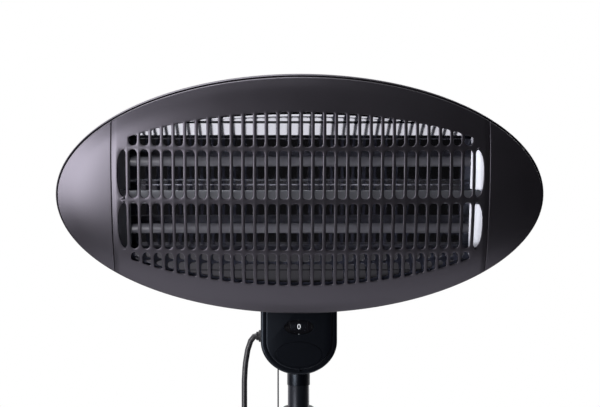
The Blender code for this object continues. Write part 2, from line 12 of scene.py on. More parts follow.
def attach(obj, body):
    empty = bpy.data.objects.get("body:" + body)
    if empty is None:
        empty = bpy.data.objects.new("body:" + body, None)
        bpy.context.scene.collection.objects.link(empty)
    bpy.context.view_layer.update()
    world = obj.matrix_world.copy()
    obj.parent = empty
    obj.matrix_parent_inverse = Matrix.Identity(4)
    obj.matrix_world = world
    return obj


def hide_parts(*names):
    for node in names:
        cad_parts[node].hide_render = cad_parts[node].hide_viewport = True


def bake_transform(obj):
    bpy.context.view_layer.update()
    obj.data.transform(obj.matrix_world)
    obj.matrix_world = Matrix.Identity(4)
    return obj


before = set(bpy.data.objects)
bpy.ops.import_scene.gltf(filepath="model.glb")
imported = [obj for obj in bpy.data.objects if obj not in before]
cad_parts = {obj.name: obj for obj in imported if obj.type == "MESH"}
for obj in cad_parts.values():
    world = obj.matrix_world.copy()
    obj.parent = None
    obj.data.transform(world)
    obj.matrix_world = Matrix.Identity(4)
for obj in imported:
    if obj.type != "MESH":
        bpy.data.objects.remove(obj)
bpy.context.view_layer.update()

# Camera, studio and floor.
# A level view of the tilted head from a little left of its middle, in a white studio whose
# light comes from a large bright wall on the left; the right side and the front stay dark.
HEAD_MIDDLE = Vector((0, -0.120, 1.560))
VIEW_POINT = Vector((-0.0357, HEAD_MIDDLE.y - 1.63, 1.5505))
AIM_X, LENS = -0.0007, 80.8
camera_data = bpy.data.cameras.new("camera")
camera_data.lens = LENS
camera = bpy.data.objects.new("camera", camera_data)
camera.location = VIEW_POINT
turn = math.atan2(AIM_X - VIEW_POINT.x, HEAD_MIDDLE.y - VIEW_POINT.y)
camera.rotation_euler = (math.pi / 2, 0, -turn)
bpy.context.collection.objects.link(camera)
bpy.context.scene.camera = camera


def softbox(name, place, aim, width, height, power, colour=(1, 1, 1)):
    lamp = bpy.data.lights.new(name, "AREA")
    lamp.shape = "RECTANGLE"
    lamp.size = width
    lamp.size_y = height
    lamp.energy = power
    lamp.color = colour
    lit = bpy.data.objects.new(name, lamp)
    lit.location = place
    lit.rotation_euler = (Vector(aim) - Vector(place)).to_track_quat("-Z", "Y").to_euler()
    bpy.context.collection.objects.link(lit)


softbox("left_wall_light", (-1.76, -2.04, 1.36), (-0.1, -0.1, 1.50), 1.25, 1.7, 68,
        (1.0, 0.99, 1.0))
softbox("top_light", (-0.7, -0.3, 3.3), (-0.1, -0.3, 0.0), 1.6, 1.6, 50)
softbox("back_light", (1.4, 2.2, 2.1), (0, 0, 1.2), 1.2, 1.6, 17)

bpy.context.scene.view_settings.view_transform = "Standard"
world = bpy.data.worlds.new("white_studio")
world.use_nodes = True
bpy.context.scene.world = world
studio = world.node_tree
studio.nodes.clear()


def add_node(tree, kind, **values):
    """A new shader node with its plain inputs set; _ in a name stands for a space."""
    node = tree.nodes.new("ShaderNode" + kind)
    set_inputs(node, values)
    return node


def set_inputs(node, values):
    for label, value in values.items():
        node.inputs[label.replace("_", " ")].default_value = value


def wire(source, node, label):
    """Links an output to another node's input in the tree they share."""
    node.id_data.links.new(source, node.inputs[label])


def blend_colour(tree, factor, first, second, kind="MIX"):
    node = add_node(tree, "Mix")
    node.data_type = "RGBA"
    node.blend_type = kind
    for label, value in (("Factor", factor), ("A", first), ("B", second)):
        if isinstance(value, bpy.types.NodeSocket):
            wire(value, node, label)
        else:
            node.inputs[label].default_value = (*value, 1) if isinstance(value, tuple) else value
    return node.outputs["Result"]


def studio_ramp(axis, *stops):
    """Grey levels across the room along one axis, from -1 to 1."""
    spread = add_node(studio, "MapRange", From_Min=-1)
    wire(axes.outputs[axis], spread, "Value")
    ramp = add_node(studio, "ValToRGB")
    ramp.color_ramp.interpolation = "EASE"
    while len(ramp.color_ramp.elements) < len(stops):
        ramp.color_ramp.elements.new(0.5)
    for element, (place, level) in zip(ramp.color_ramp.elements, stops):
        element.position = (place + 1) / 2
        element.color = (level, level * 0.985, level * 1.02, 1)
    wire(spread.outputs[0], ramp, "Fac")
    return ramp.outputs["Color"]


axes = add_node(studio, "SeparateXYZ")
wire(add_node(studio, "TexCoord").outputs["Generated"], axes, 0)
across = studio_ramp("X", (-1.0, 0.8), (-0.62, 0.9), (-0.40, 0.40), (-0.20, 0.12), (0.05, 0.05),
                     (0.30, 0.02), (0.60, 0.015), (0.88, 0.04), (1.0, 0.30))
upright = studio_ramp("Z", (-1.0, 0.10), (-0.30, 0.10), (0.05, 0.8), (0.5, 1.0))
behind = studio_ramp("Y", (-1.0, 0.0), (0.15, 0.0), (0.6, 0.8))
lit_room = blend_colour(studio, 1.0, across, upright, "MULTIPLY")
room = add_node(studio, "Background")
wire(blend_colour(studio, 1.0, lit_room, behind, "ADD"), room, "Color")
backdrop = add_node(studio, "Background", Color=(1, 1, 1, 1))
choice = add_node(studio, "MixShader")
wire(add_node(studio, "LightPath").outputs["Is Camera Ray"], choice, "Fac")
wire(room.outputs[0], choice, 1)
wire(backdrop.outputs[0], choice, 2)
wire(choice.outputs[0], add_node(studio, "OutputWorld"), "Surface")


# Shader effects that several finishes share: the fine orange peel of a cured powder coat,
# dust that settles on faces turned up, and the long rub marks of rolled or polished metal.
def effect_group(name, inputs, outputs):
    group = bpy.data.node_groups.new(name, "ShaderNodeTree")
    for label, value in inputs:
        socket = group.interface.new_socket(label, in_out="INPUT", socket_type="NodeSocketFloat")
        socket.default_value = value
    for label in outputs:
        group.interface.new_socket(label, in_out="OUTPUT", socket_type="NodeSocketFloat")
    return group, group.nodes.new("NodeGroupInput"), group.nodes.new("NodeGroupOutput")


def scale_and_lift(tree, value, by, lift, clamp=False):
    """value * by + lift, kept between 0 and 1 where clamp is set."""
    node = add_node(tree, "Math")
    node.operation = "MULTIPLY_ADD"
    node.use_clamp = clamp
    for place, part in enumerate((value, by, lift)):
        if isinstance(part, bpy.types.NodeSocket):
            wire(part, node, place)
        else:
            node.inputs[place].default_value = part
    return node.outputs[0]


def noise_node(tree, scale, detail, stretch=None):
    place = add_node(tree, "TexCoord").outputs["Object"]
    if stretch:
        spread = add_node(tree, "Mapping", Scale=stretch)
        wire(place, spread, "Vector")
        place = spread.outputs["Vector"]
    noise = add_node(tree, "TexNoise", Detail=detail)
    wire(place, noise, "Vector")
    wire(scale, noise, "Scale")
    return noise.outputs["Fac"]


peel, peel_in, peel_out = effect_group("powder_peel", (("Scale", 900.0), ("Cloud Scale", 14.0)),
                                       ("Height", "Cloud"))
wire(noise_node(peel, peel_in.outputs["Scale"], 2.0), peel_out, "Height")
wire(noise_node(peel, peel_in.outputs["Cloud Scale"], 3.0), peel_out, "Cloud")

dust, dust_in, dust_out = effect_group("settled_dust", (("Amount", 0.5), ("Scale", 60.0)),
                                       ("Mask",))
facing = add_node(dust, "SeparateXYZ")
wire(add_node(dust, "NewGeometry").outputs["Normal"], facing, 0)
upward = scale_and_lift(dust, facing.outputs["Z"], 1.6, -0.6, clamp=True)
patchy = scale_and_lift(dust, noise_node(dust, dust_in.outputs["Scale"], 5.0), 2.2, -0.7,
                        clamp=True)
laid = scale_and_lift(dust, upward, patchy, 0.0)
wire(scale_and_lift(dust, laid, dust_in.outputs["Amount"], 0.0), dust_out, "Mask")

rub, rub_in, rub_out = effect_group("rub_marks", (("Scale", 40.0), ("Cloud Scale", 9.0)),
                                    ("Streak", "Cloud"))
wire(noise_node(rub, rub_in.outputs["Scale"], 4.0, stretch=(0.06, 2.0, 2.0)), rub_out, "Streak")
wire(noise_node(rub, rub_in.outputs["Cloud Scale"], 2.0), rub_out, "Cloud")


def finish_look(name, slot, **values):
    """A new material with its shader's plain inputs set; the slot argument is not used."""
    look = bpy.data.materials.new(name)
    look.use_nodes = True
    shader = look.node_tree.nodes["Principled BSDF"]
    set_inputs(shader, values)
    return look, look.node_tree, shader


def place_group(tree, group, **values):
    node = add_node(tree, "Group")
    node.node_tree = group
    set_inputs(node, values)
    return node.outputs


def between(tree, factor, low, high):
    node = add_node(tree, "MapRange", To_Min=low, To_Max=high)
    wire(factor, node, "Value")
    return node.outputs[0]


def add_bump(tree, shader, height, distance):
    bump = add_node(tree, "Bump", Distance=distance)
    wire(height, bump, "Height")
    wire(bump.outputs["Normal"], shader, "Normal")


def coated_look(name, slot, colour, dusty, roughness, grain=900.0, depth=0.00002,
                dust_amount=0.15, **values):
    """Paint or moulded plastic: cloudy colour, orange-peel bump and a little dust on top."""
    look, tree, shader = finish_look(name, slot, Coat_Roughness=0.25, **values)
    skin = place_group(tree, peel, Scale=grain)
    film = place_group(tree, dust, Amount=dust_amount)
    deep = tuple(channel * 0.86 for channel in colour)
    toned = blend_colour(tree, skin["Cloud"], deep, colour)
    wire(blend_colour(tree, film["Mask"], toned, dusty), shader, "Base Color")
    satin = between(tree, skin["Cloud"], roughness - 0.03, roughness + 0.03)
    wire(scale_and_lift(tree, film["Mask"], 0.4, satin), shader, "Roughness")
    add_bump(tree, shader, skin["Height"], depth)
    return look


def cloudy_look(name, slot, group, sizes, shade, colour, shine, bump=0.0, **values):
    """A finish whose colour follows a group's clouds, and its shine and bump the fine marks."""
    look, tree, shader = finish_look(name, slot, **values)
    fine, cloud = place_group(tree, group, **sizes)
    wire(blend_colour(tree, cloud, shade, colour), shader, "Base Color")
    wire(between(tree, fine, *shine), shader, "Roughness")
    if bump:
        add_bump(tree, shader, fine, bump)
    return look


def metal_look(name, slot, colour, shade, *shine, bump=0.00001, marks=40.0):
    """Bare metal with long rub marks in its shine."""
    return cloudy_look(name, slot, rub, {"Scale": marks}, shade, colour, shine, bump,
                       Metallic=1.0)


# Floor: a plain pale round sweep that the heater stands on.
# It is matt, so that it only lifts the light under the head a little.
floor_mesh = bpy.data.meshes.new("floor")
bm = bmesh.new()
bmesh.ops.create_circle(bm, cap_ends=True, segments=128, radius=1.5)
bm.to_mesh(floor_mesh)
bm.free()
floor = bpy.data.objects.new("floor", floor_mesh)
floor_look, floor_tree, floor_shader = finish_look("pale_floor", None,
                                                   Base_Color=(0.76, 0.76, 0.77, 1))
floor_grain = place_group(floor_tree, peel, Scale=300.0)
wire(between(floor_tree, floor_grain["Cloud"], 0.55, 0.65), floor_shader, "Roughness")
floor_mesh.materials.append(floor_look)
bpy.context.collection.objects.link(floor)


# Mains cord: 7.4 mm black rubber flex.  It leaves the left of the switch box, hangs beside the
# pole to the base, and its spare length is wound in a small tied coil that ends in the plug.
def skin_loops(bm, loops, capped=True):
    """Faces between closed loops of vertices, with a face over each end."""
    for low, high in zip(loops, loops[1:]):
        for i in range(len(low)):
            j = (i + 1) % len(low)
            bm.faces.new((low[i], low[j], high[j], high[i]))
    if capped:
        bm.faces.new(list(reversed(loops[0])))
        bm.faces.new(loops[-1])


def tube_rings(bm, points, radius, sides):
    """A round tube along points, its rings carried along without twist."""
    points = [Vector(p) for p in points]
    rings = []
    across_axis = None
    for i, point in enumerate(points):
        ahead = points[min(i + 1, len(points) - 1)] - points[max(i - 1, 0)]
        ahead.normalize()
        if across_axis is None:
            across_axis = ahead.orthogonal().normalized()
        across_axis = (across_axis - ahead * across_axis.dot(ahead)).normalized()
        other = ahead.cross(across_axis)
        rings.append([bm.verts.new(point + across_axis * x + other * y)
                      for x, y in oval(radius, radius, sides)])
    skin_loops(bm, rings)


def arc(wide, high, start, end, steps):
    """Evenly turned (across, up) points on a part of an oval."""
    turns = [start + (end - start) * i / steps for i in range(steps + 1)]
    return [(wide * math.cos(angle), high * math.sin(angle)) for angle in turns]


def oval(wide, high, count):
    return arc(wide, high, 0, math.tau, count)[:-1]


def make_piece(name, bm, look, body, replaced=(), smooth_angle=40):
    """Turns a bmesh into a shown piece that rides on a body and stands for CAD nodes.
    """
    mesh = bpy.data.meshes.new(name)
    bm.to_mesh(mesh)
    bm.free()
    mesh.shade_smooth()
    mesh.set_sharp_from_angle(angle=math.radians(smooth_angle))
    mesh.materials.append(look)
    made = bpy.data.objects.new(name, mesh)
    bpy.context.collection.objects.link(made)
    if body:
        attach(made, body)
    if replaced:
        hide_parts(*replaced)
    return made


def smooth_route(points, spacing):
    """Points read along a smooth curve through the route's own points."""
    route = [Vector(p) for p in points]
    route = [2 * route[0] - route[1]] + route + [2 * route[-1] - route[-2]]
    line = []
    for a, b, c, d in zip(route, route[1:], route[2:], route[3:]):
        count = max(1, round((c - b).length / spacing))
        for i in range(count):
            t = i / count
            bend = (a * -1 + b * 3 - c * 3 + d) * t ** 3
            line.append(0.5 * (bend + (a * 2 - b * 5 + c * 4 - d) * t * t + (c - a) * t + b * 2))
    return line + [route[-2]]


CORD_RADIUS = 0.0037
BASE_TOP = 0.034
COIL_MIDDLE = Vector((-0.092, 0.092, 0))
COIL_RADIUS, TURN_STEP = 0.041, 0.0075
CORD_Y, GLAND_Z = 0.004, 1.378
lie = BASE_TOP + 0.0003 + CORD_RADIUS
hanging_route = ((-0.0548, CORD_Y, GLAND_Z), (-0.0574, CORD_Y, 1.3777), (-0.0622, CORD_Y, 1.3718),
                 (-0.0661, CORD_Y, 1.3600), (-0.0687, CORD_Y, 1.3442), (-0.0702, CORD_Y, 1.3228),
                 (-0.0704, CORD_Y, 1.2851), (-0.0704, CORD_Y, 1.00), (-0.0706, CORD_Y, 0.60),
                 (-0.0710, 0.0045, 0.25), (-0.0730, 0.006, 0.12), (-0.0820, 0.009, 0.065),
                 (-0.1000, 0.016, lie + 0.004), (-0.1240, 0.032, lie), (-0.1370, 0.054, lie))


def coil_points(turns, steps):
    """Turns wound outer bottom, inner bottom, inner top, outer top, each stepping over."""
    low = BASE_TOP + 0.0018 + CORD_RADIUS
    half = TURN_STEP / 2
    stages = ((0.0, half, 0), (0.75, half, 0), (1.0, -half, 0), (1.5, -half, 0),
              (1.75, -half, 1), (2.25, -half, 1), (2.5, half, 1), (turns, half, 1))
    points = []
    for i in range(steps + 1):
        u = turns * i / steps
        for (u0, r0, h0), (u1, r1, h1) in zip(stages, stages[1:]):
            if u <= u1 + 1e-9:
                t = (u - u0) / (u1 - u0)
                t = t * t * (3 - 2 * t)
                break
        radius = COIL_RADIUS + r0 + (r1 - r0) * t
        angle = math.pi - math.tau * u
        points.append(COIL_MIDDLE + Vector((radius * math.cos(angle), radius * math.sin(angle),
                                            low + TURN_STEP * (h0 + (h1 - h0) * t))))
    return points


coil_line = coil_points(3.25, 110)
plug_height = BASE_TOP + 0.0185
tail_route = (coil_line[-1], (-0.0650, 0.1400, lie + 0.0080), (-0.0300, 0.1460, lie + 0.0050),
              (0.0050, 0.1430, lie + 0.0100), (0.0280, 0.1400, plug_height),
              (0.0447, 0.1400, plug_height))
cord_line = smooth_route(hanging_route + tuple(coil_line[:1]), 0.012)[:-1]
cord_line += coil_line[:-1] + smooth_route(tail_route, 0.009)
flex_look = coated_look("flex_sheath", "black_rubber", (0.016, 0.016, 0.019),
                        (0.10, 0.10, 0.10), 0.42, grain=1400.0, depth=0.00003, dust_amount=0.25)
bm = bmesh.new()
tube_rings(bm, cord_line, CORD_RADIUS, 16)
mains_cord = make_piece("mains_flex", bm, flex_look, None, ("mains_cord", "mains_coil",
                                                            "mains_tail"))
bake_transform(mains_cord)


def lathe(name, profile, look, body, replaced=(), place=(0, 0, 0), along="Z", steps=96,
          smooth_angle=40, matrix=None):
    """A turned piece: (radius, height) points from axis to axis, or a closed loop."""
    bm = bmesh.new()
    verts = [bm.verts.new((r, 0, h)) for r, h in profile]
    edges = [bm.edges.new(pair) for pair in zip(verts, verts[1:])]
    if profile[0][0] > 0 or profile[-1][0] > 0:
        edges.append(bm.edges.new((verts[-1], verts[0])))
    bmesh.ops.spin(bm, geom=verts + edges, axis=(0, 0, 1), cent=(0, 0, 0), angle=math.tau,
                   steps=steps, use_merge=True)
    bmesh.ops.remove_doubles(bm, verts=bm.verts, dist=1e-7)
    bmesh.ops.recalc_face_normals(bm, faces=bm.faces)
    turns = {"Z": Matrix(), "X": Matrix.Rotation(math.pi / 2, 4, "Y"),
             "-X": Matrix.Rotation(-math.pi / 2, 4, "Y"),
             "Y": Matrix.Rotation(-math.pi / 2, 4, "X")}
    bm.transform((matrix or Matrix()) @ Matrix.Translation(place) @ turns[along])
    return make_piece(name, bm, look, body, replaced, smooth_angle)


def rounded(profile, radius, steps=4):
    """The same closed or open outline with each inner corner cut by a small arc."""
    out = [profile[0]]
    for a, b, c in zip(profile, profile[1:], profile[2:]):
        a, b, c = Vector(a), Vector(b), Vector(c)
        reach = min(radius, (a - b).length * 0.45, (c - b).length * 0.45)
        start = b + (a - b).normalized() * reach
        end = b + (c - b).normalized() * reach
        for i in range(steps + 1):
            t = i / steps
            point = start * (1 - t) ** 2 + b * 2 * t * (1 - t) + end * t * t
            out.append(tuple(point))
    return out + [profile[-1]]


rubber_look = coated_look("moulded_rubber", "black_rubber", (0.008, 0.008, 0.010),
                          (0.08, 0.08, 0.08), 0.5, grain=700.0, depth=0.00004,
                          dust_amount=0.3)
zinc_look = metal_look("zinc_plate", "zinc_steel", (0.62, 0.63, 0.65), (0.48, 0.49, 0.52),
                       0.22, 0.38)
plug_profile = rounded(((0, 0.045), (0.0056, 0.045), (0.0056, 0.050), (0.0048, 0.051),
                        (0.0048, 0.0525), (0.0062, 0.0535), (0.0068, 0.058), (0.0150, 0.064),
                        (0.0180, 0.0715), (0.0180, 0.090), (0.0172, 0.094), (0.0150, 0.094),
                        (0.0150, 0.0915), (0, 0.0915)), 0.0008, 3)
PLUG_Y, PIN_OFFSET = 0.140, 0.0095
plug = lathe("plug_body", plug_profile, rubber_look, "base", ("mains_plug",),
             (0, PLUG_Y, plug_height), "X")
pin_profile = rounded(((0, 0.0905), (0.0024, 0.0905), (0.0024, 0.1115), (0.0012, 0.113),
                       (0, 0.113)), 0.0006, 3)
plug_pins = [lathe(f"plug_pin_{i}", pin_profile, zinc_look, "base", (),
                   (0, PLUG_Y + side * PIN_OFFSET, plug_height), "X", 32)
             for i, side in ((1, -1), (2, 1))]


def add_wall(piece, thickness):
    """Gives an open sheet its thickness, inwards from the shown side."""
    wall = piece.modifiers.new("wall", "SOLIDIFY")
    wall.thickness = thickness
    return wall


near = COIL_MIDDLE.y - COIL_RADIUS
bm = bmesh.new()
strap = [(math.copysign(abs(y) ** 0.6, y) * 0.0092, math.copysign(abs(z) ** 0.6, z) * 0.0090)
         for y, z in oval(1, 1, 40)]
skin_loops(bm, [[bm.verts.new((x, near + y * squeeze, BASE_TOP + 0.0097 + z * squeeze))
                 for y, z in strap]
                for x, squeeze in ((-0.0985, 1.0), (-0.0975, 1.05), (-0.0865, 1.05),
                                   (-0.0855, 1.0))], capped=False)
bmesh.ops.recalc_face_normals(bm, faces=bm.faces)
tie = make_piece("hook_tie", bm, rubber_look, "base", ("coil_tie",))
add_wall(tie, 0.0008)

gland_profile = rounded(((0, 0.032), (0.0046, 0.032), (0.0050, 0.0488), (0.0078, 0.0492),
                         (0.0078, 0.0514), (0.0058, 0.0522), (0.0052, 0.0532), (0.0062, 0.0538),
                         (0.0050, 0.0550), (0.0041, 0.0554), (0, 0.0554)), 0.0005, 3)
gland = lathe("flex_gland", gland_profile, rubber_look, "mast", ("cord_gland",),
              (0, CORD_Y, GLAND_Z), "-X", 48)


# Pull cord: fine braided cord from the switch, with a bell-shaped moulded pull on its end.
# Its weave is a pair of crossing ridges that wind round the cord.
PULL_X, PULL_Y = -0.0266, -0.012
PULL_TOP, PULL_END, PULL_RADIUS = 1.3560, 0.880, 0.00095
pull_line = [Vector((PULL_X, PULL_Y, PULL_TOP + (PULL_END - PULL_TOP) * i / 40))
             for i in range(41)]
braid_look, braid_tree, braid_shader = finish_look("braided_cord", "braided_cord",
                                                   Roughness=0.75, Sheen_Weight=0.1)
ridges = add_node(braid_tree, "TexWave", Scale=420)
ridges.wave_type = "BANDS"
ridges.bands_direction = "DIAGONAL"
wire(add_node(braid_tree, "TexCoord").outputs["Object"], ridges, "Vector")
wire(blend_colour(braid_tree, ridges.outputs["Fac"], (0.008, 0.009, 0.014),
                  (0.022, 0.024, 0.034)), braid_shader, "Base Color")
add_bump(braid_tree, braid_shader, ridges.outputs["Fac"], 0.0001)
bm = bmesh.new()
tube_rings(bm, pull_line, PULL_RADIUS, 10)
pull_cord = make_piece("pull_string", bm, braid_look, "pull", ("pull_cord",))

plastic_look = coated_look("black_moulding", "black_plastic", (0.0016, 0.0019, 0.0034),
                           (0.04, 0.04, 0.04), 0.34, grain=650.0, depth=0.000018,
                           dust_amount=0.04, Coat_Weight=0.03, Specular_IOR_Level=0.28,
                           Specular_Tint=(0.70, 0.82, 1.0, 1))
bell_profile = rounded(((0, 0), (0.0030, 0), (0.0036, -0.0015), (0.0040, -0.006),
                        (0.0052, -0.016), (0.0084, -0.030), (0.0095, -0.0345),
                        (0.0095, -0.0385), (0.0080, -0.0395), (0.0068, -0.0395),
                        (0.0060, -0.034), (0, -0.030)), 0.0012, 4)
bell = lathe("bell_pull", bell_profile, plastic_look, "pull", ("pull_knob",),
             (PULL_X, PULL_Y, PULL_END - 0.0003), steps=64)


# Base: a pressed steel cover with a rolled edge, powder coated, over a zinc ballast plate that
# stands on four rubber feet, with a flanged socket bolted through its middle.
PAINT = (0.082, 0.077, 0.092)
paint_look = coated_look("anthracite_coat", "anthracite_paint", PAINT, (0.30, 0.29, 0.28), 0.36,
                         grain=1100.0, depth=0.000014, dust_amount=0.06, Metallic=0.88)
floor_paint_look = coated_look("anthracite_coat_base", "anthracite_paint", PAINT,
                               (0.26, 0.25, 0.23), 0.40, depth=0.00003, dust_amount=0.22,
                               Metallic=0.6)
BASE_RADIUS = 0.225
cover_profile = rounded(((0.0056, 0.0340), (0.046, 0.0340), (0.2070, 0.0340), (0.2215, 0.0250),
                         (BASE_RADIUS, 0.018), (BASE_RADIUS, 0.0052), (0.2236, 0.0044),
                         (0.2226, 0.0052), (0.2226, 0.0176), (0.2200, 0.0236),
                         (0.2064, 0.0325), (0.0056, 0.0325)), 0.006, 6)
lathe("base_dish", cover_profile, floor_paint_look, "base", ("base_cover",), steps=160)
socket_low = BASE_TOP + 0.0003
socket_profile = rounded(((0.0056, socket_low), (0.044, socket_low), (0.044, socket_low + 0.003),
                          (0.027, socket_low + 0.006), (0.0215, socket_low + 0.014),
                          (0.0205, socket_low + 0.020), (0.0205, socket_low + 0.062),
                          (0.0180, socket_low + 0.062), (0.0180, socket_low + 0.012),
                          (0.0056, socket_low + 0.012)), 0.0014, 4)
lathe("pole_socket", socket_profile, floor_paint_look, "base", ("base_socket",))


def hex_head(bm, place, spin, radius, height, chamfer=0.0006):
    """A hexagon bolt head with chamfered corners, rising along local Z."""
    skin_loops(bm, [[bm.verts.new(place @ spin @ Vector((x, y, level)))
                     for x, y in oval(reach, reach, 6)]
                    for reach, level in ((radius, 0), (radius, height - chamfer),
                                         (radius - chamfer, height))])


bm = bmesh.new()
BOLT_REACH, FOOT_REACH = 0.034, 0.185
for i, (x, y) in enumerate(oval(BOLT_REACH, BOLT_REACH, 4)):
    hex_head(bm, Matrix.Translation((x, y, socket_low + 0.0045)),
             Matrix.Rotation(0.3 * i, 4, "Z"), 0.0048, 0.0034)
make_piece("socket_bolts", bm, zinc_look, "base")

foot_profile = rounded(((0, 0.0012), (0.0085, 0.0012), (0.0105, 0.0), (0.0140, 0.0),
                        (0.0162, 0.0030), (0.0160, 0.0097), (0, 0.0097)), 0.0010, 3)
for i, (x, y) in enumerate(arc(FOOT_REACH, FOOT_REACH, math.pi / 4, math.pi * 7 / 4, 3)):
    lathe(f"rubber_foot_{i + 1}", foot_profile, rubber_look, "base", (f"base_foot_{i + 1}",),
          (x, y, 0), steps=48)


# Pole: two powder-coated steel tubes butted on an inner sleeve, the sliding mast above them,
# and a moulded clamp collar with a star knob at the back.
tube_look = coated_look("anthracite_coat_tube", "anthracite_paint", (0.016, 0.019, 0.026),
                        (0.16, 0.16, 0.15), 0.28, grain=1200.0, depth=0.00001,
                        dust_amount=0.06, Metallic=0.55)
POLE_RADIUS, POLE_BORE, MAST_RADIUS, MAST_BORE = 0.0175, 0.016, 0.014, 0.0128
POLE_JOINT_Z, POLE_TOP_Z = 0.650, 1.246


def tube_piece(name, radius, bore, low, high, body, node):
    profile = ((radius, low + 0.0006), (radius, high - 0.0006), (radius - 0.0005, high),
               (bore, high), (bore, low), (radius - 0.0005, low))
    lathe(name, profile, tube_look, body, (node,))


tube_piece("lower_tube", POLE_RADIUS, POLE_BORE, BASE_TOP + 0.013, POLE_JOINT_Z - 0.0002,
           "base", "lower_pole")
tube_piece("upper_tube", POLE_RADIUS, POLE_BORE, POLE_JOINT_Z + 0.0002, POLE_TOP_Z, "base",
           "upper_pole")
tube_piece("inner_tube", MAST_RADIUS, MAST_BORE, 0.900, 1.341, "mast", "sliding_mast")
COLLAR_TOP_Z, CLAMP_Z = 1.288, 1.268
collar_profile = [(0.0178, 1.213), (0.0212, 1.213), (0.0222, 1.2145), (0.0225, 1.217),
                  (0.0225, 1.2200), (0.0219, 1.2208), (0.0219, 1.2232), (0.0225, 1.2240),
                  (0.0225, 1.2760)]
collar_profile += [(0.0170 + r, 1.2775 + z) for r, z in arc(0.0055, 0.0098, 0, math.pi / 2, 8)]
collar_profile += [(0.0160, 1.2877), (0.0150, COLLAR_TOP_Z), (0.0143, 1.2874),
                   (0.0143, 1.2465), (0.0178, 1.2465)]
lathe("clamp_sleeve", collar_profile, plastic_look, "base", ("clamp_collar",))
boss_profile = rounded(((0.0046, 0.0195), (0.0110, 0.0195), (0.0104, 0.0290), (0.0100, 0.0310),
                        (0.0046, 0.0310)), 0.0012, 4)
lathe("clamp_boss", boss_profile, plastic_look, "base", (), (0, 0, CLAMP_Z), "Y", 48)


KNOB_POINTS = 96


def star_knob(name, body, node, radius, low, high, place, along):
    """A six-lobed hand knob with a softly domed face and finger hollows, on a threaded stud."""
    span = high - low
    levels = ((low, 0.55), (low + 0.10 * span, 0.60), (low + 0.25 * span, 0.93),
              (low + 0.35 * span, 1.0), (high - 0.25 * span, 1.0), (high - 0.10 * span, 0.95),
              (high - 0.02 * span, 0.84), (high, 0.60), (high - 0.03 * span, 0.45),
              (high - 0.04 * span, 0.2))
    bm = bmesh.new()
    rings = []
    for level, share in levels:
        lobe = max(0.0, share - 0.55) / 0.45
        ring = []
        for i, (x, y) in enumerate(oval(radius, radius, KNOB_POINTS)):
            hollow = 0.5 - 0.5 * math.cos(6 * math.tau * i / KNOB_POINTS)
            reach = share - 0.17 * lobe * hollow ** 1.5
            ring.append(bm.verts.new((reach * x, reach * y, level)))
        rings.append(ring)
    skin_loops(bm, rings)
    spin = Matrix.Rotation(-math.pi / 2, 4, "X") if along == "Y" \
        else Matrix.Rotation(math.pi / 2, 4, "Y")
    bm.transform(Matrix.Translation(place) @ spin)
    make_piece(name, bm, plastic_look, body, (node,), 50)


star_knob("height_knob", "clamp_knob", "clamp_knob", 0.020, 0.0335, 0.053, (0, 0, CLAMP_Z), "Y")


def thread(crest, root, start, pitch, turns):
    """Crest and root points of a screw thread's outline."""
    return [point for i in range(turns) for point in
            ((crest, start + pitch * i), (root, start + pitch * i + pitch / 2))]


stud_profile = [(0, 0.0146), (0.0032, 0.0146), *thread(0.0039, 0.0034, 0.0155, 0.0008, 24),
                (0.0034, 0.0360), (0, 0.0360)]
lathe("height_stud", stud_profile, zinc_look, "clamp_knob", (), (0, 0, CLAMP_Z), "Y", 32)


# Switch box: a glossy black moulding in two shells, half-oval at the bottom, with a raised
# front panel, an oval window over the indicator drum and a blank oval plate in a pocket.
BOX_HALF_WIDTH, BOX_TOP, BOX_SHOULDER, BOX_DROP = 0.0491, 1.470, 1.3737, 0.043
BOX_SPLIT_Y, BOX_FRONT_Y, BOX_BACK_Y = -0.006, -0.028, 0.028
WINDOW_Z, BADGE_Z = 1.3923, 1.3572
NECK_RADIUS, NECK_LOW = 0.0148, 1.3152


def box_outline(inset, y):
    """The box seen from the front: straight sides, rounded top corners, half-oval bottom."""
    wide, drop = BOX_HALF_WIDTH - inset, BOX_DROP - inset
    corner = max(0.014 - inset, 0.003)
    points = [(x, y, BOX_SHOULDER - z) for x, z in arc(wide, drop, 0, math.pi, 60)]
    for side, start in ((-1, math.pi), (1, math.pi / 2)):
        points += [(side * (wide - corner) + x, y, BOX_TOP - inset - corner + z)
                   for x, z in arc(corner, corner, start, start - math.pi / 2, 10)]
    return points


def skin_rings(bm, rings, capped=True):
    """A closed skin through rings of points; without caps the last ring joins the first."""
    loops = [[bm.verts.new(point) for point in ring] for ring in rings]
    skin_loops(bm, loops if capped else loops + loops[:1], capped)
    bmesh.ops.recalc_face_normals(bm, faces=bm.faces)


def carve(piece, cutter_bm):
    """Cuts a closed shape out of a piece for good."""
    mesh = bpy.data.meshes.new("cutter")
    bmesh.ops.recalc_face_normals(cutter_bm, faces=cutter_bm.faces)
    cutter_bm.to_mesh(mesh)
    cutter_bm.free()
    cutter = bpy.data.objects.new("cutter", mesh)
    bpy.context.collection.objects.link(cutter)
    cut = piece.modifiers.new("cut", "BOOLEAN")
    cut.object = cutter
    graph = bpy.context.evaluated_depsgraph_get()
    done = bpy.data.meshes.new_from_object(piece.evaluated_get(graph))
    piece.modifiers.clear()
    piece.data = done
    done.shade_smooth()
    done.set_sharp_from_angle(angle=math.radians(32))
    bpy.data.objects.remove(cutter)


def oval_ring(wide, high, z, y):
    return [(across, y, z + up) for across, up in oval(wide, high, 64)]


def oval_cutter(wide, high, z, near, far):
    bm = bmesh.new()
    skin_rings(bm, [oval_ring(wide, high, z, y) for y in (near, far)])
    return bm


